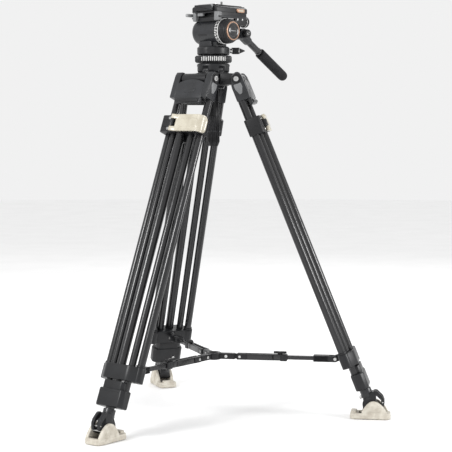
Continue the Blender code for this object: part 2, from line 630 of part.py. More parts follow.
def build_crown(stand, finish):
    """Crown casting with its bowl and three lugs, the hip pins and the tie-down under it."""
    core = turned([(BOWL_R + GAP, CROWN_BOTTOM), (CROWN_R - 2, CROWN_BOTTOM), (CROWN_R, CROWN_BOTTOM + 3),
                   (CROWN_R, CROWN_TOP - 4), (CROWN_R - 3, CROWN_TOP), (BOWL_R + GAP, CROWN_TOP)])
    lugs, bores = [], []
    for azimuth in LEGS.values():
        turn = Matrix.Rotation(radians(azimuth), 4, "Z")
        side = [(20.0, -LUG_R + 0.5), (HIP_RADIUS - 4, -LUG_R + 0.5)]
        side += arc((HIP_RADIUS, 0.0), LUG_R, -90, 90, 8)
        side += [(HIP_RADIUS - 18, LUG_R + 1.0), (20.0, LUG_R + 1.5)]
        lugs.append(placed(prism(side, -LUG_HALF, LUG_HALF, "Y"), turn @ shift(0, 0, HIP_HEIGHT)))
        bores.append(placed(along_y(cylinder(PIN_R + GAP, -LUG_HALF - 20, LUG_HALF + 20)),
                            turn @ shift(HIP_RADIUS, 0, HIP_HEIGHT)))
    bowl = cylinder(BOWL_R + GAP, CROWN_BOTTOM - 5, CROWN_TOP + 5, ROUND_SIDES)
    crown = carve(fuse(core, *lugs), bowl, *bores)
    part("crown_casting", crown, stand, finish["casting"])

    reach = YOKE_HALF + SLIDE
    pin_profile = [(0.0, -reach - PIN_HEAD), (PIN_HEAD_R - 1, -reach - PIN_HEAD), (PIN_HEAD_R, -reach - 2.5),
                   (PIN_HEAD_R, -reach), (PIN_R, -reach), (PIN_R, reach), (PIN_HEAD_R, reach),
                   (PIN_HEAD_R, reach + 2.5), (PIN_HEAD_R - 1, reach + PIN_HEAD), (0.0, reach + PIN_HEAD)]
    pin = along_y(turned(pin_profile, TUBE_SIDES))
    for name, azimuth in LEGS.items():
        seat = empty("hip_pin_axis_" + name, stand, Matrix.Rotation(radians(azimuth), 4, "Z")
                     @ shift(HIP_RADIUS, 0, HIP_HEIGHT))
        part("hip_pin_" + name, pin, seat, finish["steel"])

    ball_low = CROWN_BOTTOM + 7
    ball = turned([(0.0, STUD_END), (STUD_R, STUD_END), (STUD_R, ball_low), (BOWL_R - 8.5, ball_low),
                   (BOWL_R - 3.5, ball_low + 11), (BOWL_R - 0.5, CROWN_TOP + GAP),
                   (FLANGE_R - 2.5, CROWN_TOP + GAP), (FLANGE_R, CROWN_TOP + 6),
                   (FLANGE_R, FLANGE_TOP - 3), (FLANGE_R - 3, FLANGE_TOP), (SPINDLE_R, FLANGE_TOP + 1),
                   (SPINDLE_R, DRAG_RING_TOP + 0.5), (0.0, DRAG_RING_TOP + 0.5)])
    part("half_ball", ball, stand, finish["casting"])
    bore = STUD_R + SLIDE
    washer = CROWN_BOTTOM - SLIDE
    low = TIE_DOWN_END
    grip = turned([(0.0, STUD_END - 3), (bore, STUD_END - 3), (bore, washer), (26.0, washer),
                   (24.0, washer - 6),
                   (11.0, washer - 7), (13.0, washer - 12), (13.0, low + 71), (15.2, low + 64),
                   (15.2, low + 35), (14.0, low + 32), (14.3, low + 10), (10.5, low), (0.0, low)])
    part("tie_down_grip", grip, stand, finish["nylon"])


# ---------------------------------------------------------------- fluid head

def build_pan_base(stand, pan, finish):
    """Drag ring round the spindle, pan housing with its neck, and the pan lock."""
    ring = turned([(SPINDLE_R + SLIDE, DRAG_RING_BOTTOM), (DRAG_RING_R - 2.5, DRAG_RING_BOTTOM),
                   (DRAG_RING_R, DRAG_RING_BOTTOM + 3), (DRAG_RING_R, DRAG_RING_TOP - 2),
                   (DRAG_RING_R - 2, DRAG_RING_TOP), (SPINDLE_R + SLIDE, DRAG_RING_TOP)])
    part("pan_drag_ring", ring, stand, finish["casting"])

    low = DRAG_RING_TOP + 2
    body = turned([(0.0, low), (HOUSING_R - 3, low), (HOUSING_R, low + 2), (HOUSING_R, HOUSING_TOP - 2.5),
                   (HOUSING_R - 2.5, HOUSING_TOP), (0.0, HOUSING_TOP)])
    neck = box(NECK_LEFT, DRUM_RIGHT - 1, -NECK_HALF, NECK_HALF, HOUSING_TOP - 4, TILT_HEIGHT - 18)
    drum_space = placed(along_x(cylinder(DRUM_R + GAP, -80, 80, ROUND_SIDES)), shift(0, 0, TILT_HEIGHT))
    part("pan_housing", carve(fuse(body, neck), drum_space), pan, finish["casting"])

    lock = empty("pan_lock_axis", pan, Matrix.Rotation(radians(-HEAD_TURN), 4, "Z")
                 @ shift(0, 0, (low + HOUSING_TOP) / 2))
    root = HOUSING_R + 0.8
    knob = along_x(turned([(0.0, root), (5.5, root), (5.5, HOUSING_R + 5), (7.5, HOUSING_R + 7),
                           (7.5, HOUSING_R + 20), (6.0, HOUSING_R + 23), (1.0, HOUSING_R + 35),
                           (0.0, HOUSING_R + 35)], 20))
    part("pan_lock_knob", knob, lock, finish["nylon"])


def build_tilt_unit(pan, finish):
    """Drum with its shaft, the graduated ring that tilts, the drag dial and the tilt lock."""
    tilt = empty("tilt_axis", pan, shift(0, 0, TILT_HEIGHT))
    shaft_end = DRUM_RIGHT + SCALE_RING_WIDTH + DIAL_WIDTH - 3
    drum = along_x(turned([(0.0, DRUM_LEFT), (15.0, DRUM_LEFT), (22.0, DRUM_LEFT + 2), (26.5, DRUM_LEFT + 6),
                           (DRUM_R, DRUM_LEFT + 14), (DRUM_R, DRUM_RIGHT), (TILT_SHAFT_R, DRUM_RIGHT),
                           (TILT_SHAFT_R, shaft_end), (0.0, shaft_end)]))
    part("tilt_drum", drum, tilt, finish["casting"])

    bore = TILT_SHAFT_R + SLIDE
    ring_low = DRUM_RIGHT + SLIDE
    ring_high = ring_low + SCALE_RING_WIDTH
    ring = along_x(turned([(bore, ring_low), (DRUM_R, ring_low), (DRUM_R, ring_high), (bore, ring_high)]))
    part("tilt_scale_ring", ring, tilt, finish["casting"])

    dial_low = ring_high + SLIDE
    dial_high = dial_low + DIAL_WIDTH
    face = dial_high + GAP
    dial = along_x(turned([(bore, dial_low), (DIAL_R, dial_low), (DIAL_R, dial_low + 5),
                           (DIAL_R - 2, dial_low + 6), (DIAL_FACE_R, dial_high), (bore, dial_high)]))
    part("tilt_drag_dial", dial, tilt, finish["nylon"])
    cap_r = TRIM_INNER_R - GAP
    cap = along_x(turned([(0.0, face), (cap_r, face), (cap_r, face + 1), (9.0, face + 2.5),
                          (0.0, face + 2.5)]))
    part("dial_cap", cap, tilt, finish["nylon"])
    trim = along_x(turned([(TRIM_INNER_R, face), (TRIM_OUTER_R, face), (TRIM_OUTER_R, face + 1.5),
                           (TRIM_OUTER_R - 2.5, face + 3), (TRIM_INNER_R, face + 2)]))
    part("dial_trim_ring", trim, tilt, finish["cream"])

    lock = empty("tilt_lock_axis", pan, shift(NECK_LEFT + 14, NECK_HALF + GAP, TILT_LOCK_HEIGHT))
    paddle = prism([(-30.0, -2.5), (0.0, -5.0), (0.0, 5.0), (-30.0, 2.5)], 5.0, 11.0, "Y")
    lever = fuse(along_y(cylinder(TILT_LOCK_R, 0.1, 14.0)), paddle)
    part("tilt_lock_lever", lever, lock, finish["nylon"])
    return tilt


def build_platform(tilt, finish):
    """Plate bed with its rails, rosette bracket, counterbalance knob, button and plate lever."""
    bed_low = DRUM_R + 0.6
    bed_top = bed_low + BED_THICKNESS
    rail_top = bed_top + RAIL_HEIGHT
    rail_inner = BED_HALF - RAIL_WIDTH
    channel = [(-BED_HALF, bed_low), (BED_HALF, bed_low), (BED_HALF, rail_top), (rail_inner, rail_top),
               (rail_inner, bed_top), (-rail_inner, bed_top), (-rail_inner, rail_top), (-BED_HALF, rail_top)]
    bed = prism(channel, BED_FRONT, BED_BACK, "Y")
    front_skirt = box(-34, 34, BED_FRONT + 1, BED_FRONT + 7, bed_low - 8, bed_low + 2)
    rear_block = box(-29, BED_HALF - 1, 34, BED_BACK - 1, bed_low - 14, bed_low + 2)
    rosette_low = HANDLE_HEIGHT - TILT_HEIGHT
    bracket_out = HANDLE_X - SOCKET_R - SLIDE
    side = arc((HANDLE_Y, rosette_low), ROSETTE_R, 180, 360, 10) + [(HANDLE_Y + ROSETTE_R, bed_low - 10),
                                                                    (HANDLE_Y - ROSETTE_R, bed_low - 10)]
    bracket = prism(side, bracket_out - ROSETTE_THICKNESS, bracket_out, "X")
    lever_y, lever_x, lever_r = -14.0, -BED_HALF - 6.0, 5.6
    lever_lug = box(lever_x - 5, -BED_HALF + 2, lever_y - 6, lever_y + 6, bed_low + 0.2, bed_low + 3.0)
    button_y0, button_y1, button_z0, button_z1 = 36.0, 62.0, bed_top - 1.0, bed_top + 8.0
    recess = box(BED_HALF - 7.5, BED_HALF + 5, button_y0 - SLIDE, button_y1 + SLIDE, button_z0 - SLIDE,
                 button_z1 + SLIDE)
    platform = carve(fuse(bed, front_skirt, rear_block, bracket, lever_lug), recess)
    part("plate_bed", platform, tilt, finish["casting"])

    press = empty("release_button_slide", tilt, shift(BED_HALF, 0, 0))
    button = box(-4.5, 3.5, button_y0, button_y1, button_z0, button_z1)
    part("release_button", button, press, finish["cream"])

    lever_axis = empty("plate_lever_axis", tilt, shift(lever_x, lever_y, bed_low + 3.0 + GAP))
    outline = arc((0.0, 0.0), lever_r, 0, 180, 8) + [(-6.5, -20.0), (-5.0, -27.0), (1.0, -27.0), (4.0, -20.0)]
    part("plate_lock_lever", prism(outline, 0.0, 9.0), lever_axis, finish["grey_alloy"])

    knob_axis = empty("counterbalance_axis", tilt, shift(COUNTERBALANCE_X, BED_BACK + SLIDE, bed_low - 4))
    knob_r = COUNTERBALANCE_R
    knob = along_y(turned([(0.0, 0.2), (knob_r - 5, 0.2), (knob_r - 5, 3.0), (knob_r, 4.0), (knob_r, 11.0),
                           (knob_r - 2, 13.0), (0.0, 13.0)], 24))
    part("counterbalance_knob", knob, knob_axis, finish["nylon"])
    return bed_top, rail_inner


def build_plate(tilt, bed_top, rail_inner, finish):
    """Sliding camera plate with its guide pin, its pads and the camera screw."""
    slide = empty("plate_slide", tilt)
    low = bed_top + SLIDE
    high = low + PLATE_THICKNESS
    half = rail_inner - SLIDE
    plate = prism([(-half, low), (half, low), (half, high - 1), (half - 1, high), (1 - half, high),
                   (-half, high - 1)], PLATE_FRONT, PLATE_BACK, "Y")
    bore = placed(cylinder(CAMERA_SCREW_R + SLIDE, low - 2, high + 2), shift(0, CAMERA_SCREW_Y))
    head_r, head_top = CAMERA_SCREW_HEAD_R, low + 5.0
    head_space = placed(cylinder(head_r + SLIDE, low - 2, head_top + SLIDE), shift(0, CAMERA_SCREW_Y))
    pin = turned([(0.0, high - 3), (GUIDE_PIN_R, high - 3), (GUIDE_PIN_R, high + 5),
                  (GUIDE_PIN_R - 0.8, high + 6.5), (0.0, high + 6.5)], 12)
    plate = fuse(plate, placed(pin, shift(0, GUIDE_PIN_Y)))
    part("camera_plate", carve(plate, bore, head_space), slide, finish["anodised"])
    pad_low, pad_high = high + GAP, high + GAP + PAD_THICKNESS
    pad = box(-PAD_HALF, PAD_HALF, PLATE_FRONT + 8, PLATE_BACK - 8, pad_low, pad_high)
    pad_slot = box(-PAD_SLOT_HALF, PAD_SLOT_HALF, GUIDE_PIN_Y - 8, CAMERA_SCREW_Y + 12,
                   pad_low - 2, pad_high + 2)
    part("plate_pad", carve(pad, pad_slot), slide, finish["rubber"])
    screw_axis = empty("camera_screw_axis", slide, shift(0, CAMERA_SCREW_Y, 0))
    screw = turned([(0.0, low + 0.6), (head_r, low + 0.6), (head_r, head_top), (CAMERA_SCREW_R, head_top),
                    (CAMERA_SCREW_R, high + 10), (CAMERA_SCREW_R - 0.8, high + 11), (0.0, high + 11)])
    part("camera_screw", screw, screw_axis, finish["steel"])


def build_handle(tilt, finish):
    """Pan handle: rosette clamp with its knob, bar and rubber grip."""
    rosette = empty("handle_rosette", tilt, shift(HANDLE_X, HANDLE_Y, HANDLE_HEIGHT - TILT_HEIGHT)
                    @ Matrix.Rotation(radians(HANDLE_PITCH), 4, "X"))
    disc = along_x(cylinder(ROSETTE_R - 0.5, -SOCKET_R, SOCKET_R, 24))
    clamp = fuse(disc, along_y(cylinder(SOCKET_R, 4.0, SOCKET_END, 24)))
    clamp = carve(clamp, along_y(cylinder(HANDLE_BAR_R + GAP, SOCKET_START, SOCKET_END + 8)))
    part("handle_clamp", clamp, rosette, finish["casting"])
    bar_start, core_end = SOCKET_START + 0.5, HANDLE_BAR_END + GRIP_CORE_LENGTH
    bar = along_y(turned([(0.0, bar_start), (HANDLE_BAR_R, bar_start), (HANDLE_BAR_R, HANDLE_BAR_END),
                          (GRIP_CORE_R, HANDLE_BAR_END), (GRIP_CORE_R, core_end), (0.0, core_end)],
                         TUBE_SIDES))
    part("handle_bar", bar, rosette, finish["anodised"])
    start, bore = HANDLE_BAR_END + GAP, GRIP_CORE_R + GAP
    bore_end = start + GRIP_CORE_LENGTH + 0.5
    grip = along_y(turned([(0.0, bore_end), (bore, bore_end), (bore, start), (GRIP_R - 1.2, start),
                           (GRIP_R, start + 2), (GRIP_R, GRIP_END - 11), (GRIP_R * 0.86, GRIP_END - 5),
                           (GRIP_R * 0.5, GRIP_END - 1.2), (0.0, GRIP_END)], 20))
    part("handle_grip", grip, rosette, finish["rubber"])
    knob_axis = empty("handle_knob_axis", rosette, shift(SOCKET_R + SLIDE, 0, 0))
    knob = along_x(turned([(0.0, 0.1), (6.0, 0.1), (6.0, 2.0), (10.0, 3.0), (10.0, 11.0), (8.5, 12.5),
                           (0.0, 12.5)], 20))
    part("handle_knob", knob, knob_axis, finish["nylon"])


# ---------------------------------------------------------------- whole object

def make_finishes():
    """Materials by name."""
    return {
        "casting": material("black_casting", (0.028, 0.029, 0.031), 0.5, 0.2),
        "anodised": material("black_anodised_tube", (0.018, 0.018, 0.020), 0.32, 0.7),
        "nylon": material("black_nylon", (0.024, 0.024, 0.026), 0.55),
        "cream": material("cream_plastic", (0.72, 0.64, 0.53), 0.38),
        "cream_rubber": material("cream_rubber", (0.70, 0.64, 0.55), 0.7),
        "rubber": material("black_rubber", (0.02, 0.02, 0.021), 0.8),
        "steel": material("bright_steel", (0.62, 0.62, 0.63), 0.28, 1.0),
        "grey_alloy": material("grey_alloy", (0.35, 0.35, 0.36), 0.42, 0.6),
    }


def centre_over_origin(stand):
    """Slide the stand sideways so that the middle of its bounding box lies on the Z axis."""
    bpy.context.view_layer.update()
    corners = [item.matrix_world @ vertex.co for item in bpy.data.objects if item.type == "MESH"
               for vertex in item.data.vertices]
    for axis in (0, 1):
        values = [corner[axis] for corner in corners]
        stand.location[axis] -= (min(values) + max(values)) / 2
    bpy.context.view_layer.update()


def main():
    """Build the whole tripod."""
    clear_scene()
    finish = make_finishes()
    stand = empty("stand")
    build_crown(stand, finish)
    build_legs(stand, finish)
    build_spreader_hub(stand, finish)
    pan = empty("pan_axis", stand, Matrix.Rotation(radians(HEAD_TURN), 4, "Z"))
    build_pan_base(stand, pan, finish)
    tilt = build_tilt_unit(pan, finish)
    bed_top, rail_inner = build_platform(tilt, finish)
    build_plate(tilt, bed_top, rail_inner, finish)
    build_handle(tilt, finish)
    centre_over_origin(stand)


main()
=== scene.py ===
"""Fluid-head video tripod: tandem-tube legs with cream locks and boots, a spreader and a fluid head.

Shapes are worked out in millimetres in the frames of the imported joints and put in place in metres:
each leg frame has X outwards, Y across and Z up along the leg from the hip pin, and the head frame
has X along the tilt axis and Y towards the back.
"""

import json
import logging
from collections.abc import Iterable, Sequence
from dataclasses import dataclass, field
from enum import Enum
from math import cos, pi, radians, sin

import bmesh
import bpy
import numpy as np
from mathutils import Matrix, Vector


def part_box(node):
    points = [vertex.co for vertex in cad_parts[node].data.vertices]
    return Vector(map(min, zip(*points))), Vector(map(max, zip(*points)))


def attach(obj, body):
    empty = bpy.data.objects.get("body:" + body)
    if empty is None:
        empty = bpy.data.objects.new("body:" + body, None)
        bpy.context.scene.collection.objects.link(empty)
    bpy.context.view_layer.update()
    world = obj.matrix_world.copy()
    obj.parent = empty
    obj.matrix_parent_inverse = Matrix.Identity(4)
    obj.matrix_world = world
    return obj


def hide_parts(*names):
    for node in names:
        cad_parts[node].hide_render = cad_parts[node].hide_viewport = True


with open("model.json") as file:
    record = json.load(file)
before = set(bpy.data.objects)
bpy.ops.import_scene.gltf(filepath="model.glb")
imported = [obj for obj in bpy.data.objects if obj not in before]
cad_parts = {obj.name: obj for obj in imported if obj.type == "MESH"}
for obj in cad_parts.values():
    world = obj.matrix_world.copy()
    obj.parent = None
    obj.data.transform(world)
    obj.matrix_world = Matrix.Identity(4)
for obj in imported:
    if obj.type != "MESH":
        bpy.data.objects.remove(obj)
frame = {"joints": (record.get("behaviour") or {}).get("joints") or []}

LOG = logging.getLogger("tripod")
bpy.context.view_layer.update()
MM = 0.001
SMOOTH_ANGLE = radians(32)
LEG_NAMES = ("front", "right", "rear")
JOINTS = {joint["name"]: joint for joint in frame["joints"]}


class Axis(Enum):
    """Direction in which an outline is carried, as the order that puts (a, b, along) into (x, y, z)."""

    X = (2, 0, 1)
    Y = (0, 2, 1)
    Z = (0, 1, 2)


# ------------------------------------------------------------------ surfaces

@dataclass
class Shell:
    """Closed surface in millimetres.

    Args:
        points: Corner positions, one row each.
        faces: Corner numbers of each face.
    """

    points: np.ndarray
    faces: list

    def moved(self, matrix: Matrix) -> "Shell":
        """Return the shell carried through a matrix in millimetres."""
        table = np.array(matrix)
        return Shell(self.points @ table[:3, :3].T + table[:3, 3], self.faces)

    def at(self, x: float = 0.0, y: float = 0.0, z: float = 0.0) -> "Shell":
        """Return the shell shifted by x, y and z."""
        return Shell(self.points + np.array([x, y, z]), self.faces)

    def turned(self, degrees: float, axis: str = "Z") -> "Shell":
        """Return the shell turned about one of the main axes."""
        return self.moved(Matrix.Rotation(radians(degrees), 4, axis))

    def along_x(self) -> "Shell":
        """Return a shell made along Z so that it lies along +X."""
        return self.turned(90, "Y")

    def along_y(self) -> "Shell":
        """Return a shell made along Z so that it lies along +Y."""
        return self.turned(-90, "X")


def loft(loops: np.ndarray, ring: bool = False) -> Shell:
    """Skin a stack of closed loops; point (i, j) joins (i, j+1), (i+1, j+1) and (i+1, j).

    Args:
        loops: Array (loops, points, 3) in millimetres.
        ring: Whether the last loop joins the first; otherwise both ends get a cap.

    Returns:
        The closed surface.
    """
    count, width = loops.shape[:2]
    index = np.arange(count * width).reshape(count, width)
    low = index if ring else index[:-1]
    high = np.roll(index, -1, 0) if ring else index[1:]
    quads = np.stack([low, np.roll(low, -1, 1), np.roll(high, -1, 1), high], -1).reshape(-1, 4)
    faces = quads.tolist()
    if not ring:
        faces += [index[0][::-1].tolist(), index[-1].tolist()]
    return Shell(loops.reshape(-1, 3), faces)


@dataclass(frozen=True)
class Flutes:
    """Grip flutes: the radius falls by depth times ((1 - cos(count angle)) / 2) to the power sharp.

    Args:
        count: Flutes round the circle.
        depth: How deep each one is, in millimetres.
        above: Only loops with at least this radius are fluted.
        sharp: Larger values make the flutes narrower.
    """

    count: int
    depth: float
    above: float = 0.0
    sharp: float = 1.0

    def cut(self, angle: np.ndarray, radius: np.ndarray) -> np.ndarray:
        """Return the radius grid with the flutes taken off."""
        wave = ((1 - np.cos(self.count * angle)) / 2) ** self.sharp
        return radius - self.depth * wave * (radius >= self.above)


def spun(profile: Sequence, sides: int = 48, flutes: Flutes | None = None, ring: bool = False) -> Shell:
    """Carry a profile round Z: point (i, j) lies at radius i, angle 2 pi j / sides and height i.

    Args:
        profile: (radius, height) pairs from one end to the other.
        sides: Points round the circle.
        flutes: Grip flutes, if any.
        ring: Whether the profile closes on itself, as a hollow ring does.

    Returns:
        The closed surface.
    """
    pairs = np.array(profile, float)
    angle = np.arange(sides) * 2 * pi / sides
    radius = np.repeat(pairs[:, :1], sides, 1)
    if flutes:
        radius = flutes.cut(angle[None, :], radius)
    height = np.repeat(pairs[:, 1:], sides, 1)
    return loft(np.stack([radius * np.cos(angle), radius * np.sin(angle), height], -1), ring)


def eased(profile: Sequence, radius: float, steps: int = 3, closed: bool = False) -> np.ndarray:
    """Round the corners of a line: each corner becomes a quadratic curve that starts and ends `radius`
    away from it, or a little under half of the shorter side beside it.

    Args:
        profile: Points in a plane.
        radius: Distance from the corner at which the curve starts.
        steps: Parts of each curve.
        closed: Whether the last point joins the first.

    Returns:
        Array of points.
    """
    p = np.array(profile, float)
    before, after = np.roll(p, 1, 0) - p, np.roll(p, -1, 0) - p
    reach = np.minimum(np.linalg.norm(before, axis=1), np.linalg.norm(after, axis=1)) * 0.46
    reach = np.minimum(reach, radius)[:, None]
    start = p + before / np.maximum(np.linalg.norm(before, axis=1), 1e-9)[:, None] * reach
    end = p + after / np.maximum(np.linalg.norm(after, axis=1), 1e-9)[:, None] * reach
    t = np.linspace(0, 1, steps + 1)[None, :, None]
    curve = (1 - t) ** 2 * start[:, None] + 2 * t * (1 - t) * p[:, None] + t ** 2 * end[:, None]
    if closed:
        return curve.reshape(-1, 2)
    return np.vstack([p[:1], curve[1:-1].reshape(-1, 2), p[-1:]])


def inset(outline: np.ndarray, distance: float) -> np.ndarray:
    """Move every side of an anticlockwise outline inwards; each corner goes along its mitre, the sum of
    the two side normals over one plus their dot product."""
    ahead = np.roll(outline, -1, 0) - outline
    reach = np.maximum(np.linalg.norm(ahead, axis=1), 1e-9)[:, None]
    normal = np.stack([ahead[:, 1], -ahead[:, 0]], 1) / reach
    last = np.roll(normal, 1, 0)
    mitre = (normal + last) / np.maximum(1 + (normal * last).sum(1), 0.5)[:, None]
    return outline - mitre * distance


def slab(outline: Sequence, low: float, high: float, edge: float = 0.7, axis: Axis = Axis.Z,
         corner: float = 0.0) -> Shell:
    """Carry an outline along an axis, with its two rims rounded over a quarter circle of radius `edge`.

    Args:
        outline: Points in the plane across the axis: (x, y) for Z, (x, z) for Y, (y, z) for X.
        low: Where it starts along the axis.
        high: Where it ends.
        edge: Radius of the rims.
        axis: The axis.
        corner: Radius of the outline's own corners, 0 to leave them.

    Returns:
        The closed surface.
    """
    flat = np.array(outline, float)
    ahead = np.roll(flat, -1, 0)
    if (flat[:, 0] * ahead[:, 1] - ahead[:, 0] * flat[:, 1]).sum() < 0:
        flat = flat[::-1]
    if corner:
        flat = eased(flat, corner, closed=True)
    edge = min(edge, (high - low) * 0.45)
    quarter = np.radians([0, 30, 60, 90])
    ins = edge * (1 - np.sin(quarter))
    rise = edge * (1 - np.cos(quarter))
    levels = [(i, low + r) for i, r in zip(ins, rise)]
    levels += [(i, high - r) for i, r in zip(ins[::-1], rise[::-1])]
    stack = np.stack([np.column_stack([inset(flat, i), np.full(len(flat), h)]) for i, h in levels])
    return loft(stack[..., list(axis.value)])


def block(x: tuple, y: tuple, z: tuple, edge: float = 0.7, corner: float = 1.5, axis: Axis = Axis.Z) -> Shell:
    """Rounded block between two corners; its upright sides follow `axis`."""
    a, b, c = {Axis.X: (y, z, x), Axis.Y: (x, z, y), Axis.Z: (x, y, z)}[axis]
    outline = [(a[0], b[0]), (a[1], b[0]), (a[1], b[1]), (a[0], b[1])]
    return slab(outline, c[0], c[1], edge, axis, corner)


def smooth_step(low: float, high: float, value: np.ndarray) -> np.ndarray:
    """Rise from 0 to 1 between low and high as 3t^2 - 2t^3."""
    t = np.clip((value - low) / (high - low), 0, 1)
    return t * t * (3 - 2 * t)


def cutter_box(x: tuple, y: tuple, z: tuple) -> Shell:
    """Sharp-edged block between two corners, for cutting."""
    flat = np.array([(x[0], y[0]), (x[1], y[0]), (x[1], y[1]), (x[0], y[1])], float)
    return loft(np.stack([np.column_stack([flat, np.full(4, height)]) for height in z]))


def bar(radius: float, low: float, high: float, edge: float = 0.6, sides: int = 32) -> Shell:
    """Round bar along Z with eased ends."""
    return spun(eased([(radius - edge * 2.5, low), (radius, low), (radius, high),
                       (radius - edge * 2.5, high)], edge),
                sides)


def tube_ring(inner: float, outer: float, low: float, high: float, edge: float = 0.5,
              sides: int = 48) -> Shell:
    """Ring round Z with a rectangular, eased section."""
    section = eased([(inner, low), (outer, low), (outer, high), (inner, high)], edge, 2, True)
    return spun(section, sides, ring=True)


def arc(centre: tuple, radius: float, start: float, end: float, steps: int = 10) -> list:
    """Points on an arc, with angles in degrees."""
    angle = np.radians(np.linspace(start, end, steps + 1))
    return np.column_stack([centre[0] + radius * np.cos(angle), centre[1] + radius * np.sin(angle)]).tolist()


ACROSS_Y = (1, -1, 1)
ACROSS_X = (-1, 1, 1)


def mirrored(shells: Iterable[Shell], signs: tuple = ACROSS_Y) -> list[Shell]:
    """Return the shells and their mirror images, whose coordinates are multiplied by the signs."""
    kept = list(shells)
    return kept + [Shell(s.points * signs, [f[::-1] for f in s.faces]) for s in kept]


def cut(base: Shell, cutters: Sequence[Shell]) -> Shell:
    """Take the cutters off a shell with exact Booleans, since round bores cross the block's grid."""
    blank = bpy.data.objects.new("blank", mesh_of([(base, 0)], Matrix.Identity(4)))
    bpy.context.scene.collection.objects.link(blank)
    tools = []
    for cutter in cutters:
        tool = bpy.data.objects.new("cutter", mesh_of([(cutter, 0)], Matrix.Identity(4)))
        bpy.context.scene.collection.objects.link(tool)
        modifier = blank.modifiers.new("bore", "BOOLEAN")
        modifier.operation, modifier.solver, modifier.object = "DIFFERENCE", "EXACT", tool
        tools.append(tool)
    bpy.context.view_layer.update()
    result = bpy.data.meshes.new_from_object(blank.evaluated_get(bpy.context.evaluated_depsgraph_get()))
    points = np.empty(len(result.vertices) * 3)
    result.vertices.foreach_get("co", points)
    faces = [list(polygon.vertices) for polygon in result.polygons]
    for item in [blank, *tools]:
        bpy.data.objects.remove(item)
    return Shell(points.reshape(-1, 3), faces)


def mesh_of(shells: Sequence[tuple], place: Matrix) -> bpy.types.Mesh:
    """Join shells into one mesh with outward faces, smooth but for its sharp edges.

    Args:
        shells: (shell, material number) pairs.
        place: Matrix that puts the points where they go.

    Returns:
        The mesh.
    """
    points, faces, numbers, start = [], [], [], 0
    for shell, number in shells:
        points.append(shell.points)
        faces += [[start + corner for corner in face] for face in shell.faces]
        numbers += [number] * len(shell.faces)
        start += len(shell.points)
    table = np.array(place)
    world = np.vstack(points) @ table[:3, :3].T + table[:3, 3]
    mesh = bpy.data.meshes.new("shape")
    mesh.from_pydata(world.tolist(), [], faces)
    mesh.polygons.foreach_set("material_index", np.array(numbers, np.int32))
    work = bmesh.new()
    work.from_mesh(mesh)
    bmesh.ops.recalc_face_normals(work, faces=work.faces)
    work.to_mesh(mesh)
    work.free()
    mesh.shade_smooth()
    mesh.set_sharp_from_angle(angle=SMOOTH_ANGLE)
    return mesh


# ------------------------------------------------------------------ frames

def joint_frame(origin: Sequence, y: Vector, z: Vector) -> Matrix:
    """Frame in metres that takes millimetres, from its origin and two of its axes."""
    x = y.cross(z)
    turn = Matrix((x, y, z)).transposed().to_4x4()
    return Matrix.Translation(Vector(origin)) @ turn @ Matrix.Scale(MM, 4)


def axis_of(joint: str) -> Vector:
    """Unit axis of a joint."""
    return Vector(JOINTS[joint]["axis"]).normalized()


def pivot_of(joint: str) -> Vector:
    """Point on a joint's axis, in metres."""
    return Vector(JOINTS[joint]["pos_m"])


# ------------------------------------------------------------------ finishes

def linear(hexed: str) -> tuple:
    """Turn an sRGB hex colour into linear RGBA."""
    values = np.array([int(hexed[i:i + 2], 16) for i in (0, 2, 4)]) / 255
    values = np.where(values <= 0.04045, values / 12.92, ((values + 0.055) / 1.055) ** 2.4)
    return (*values.tolist(), 1.0)


def add_node(tree: bpy.types.NodeTree, kind: str, inputs: dict | None = None,
             **settings: object) -> bpy.types.Node:
    """Add a shader node.

    Args:
        tree: Where it goes.
        kind: Blender's type name without "ShaderNode".
        inputs: Values for its input sockets, or the output sockets that feed them.
        settings: Its properties.

    Returns:
        The node.
    """
    made = tree.nodes.new("ShaderNode" + kind)
    for key, value in settings.items():
        setattr(made, key, value)
    for key, value in (inputs or {}).items():
        if isinstance(value, bpy.types.NodeSocket):
            tree.links.new(value, made.inputs[key])
        else:
            made.inputs[key].default_value = value
    return made


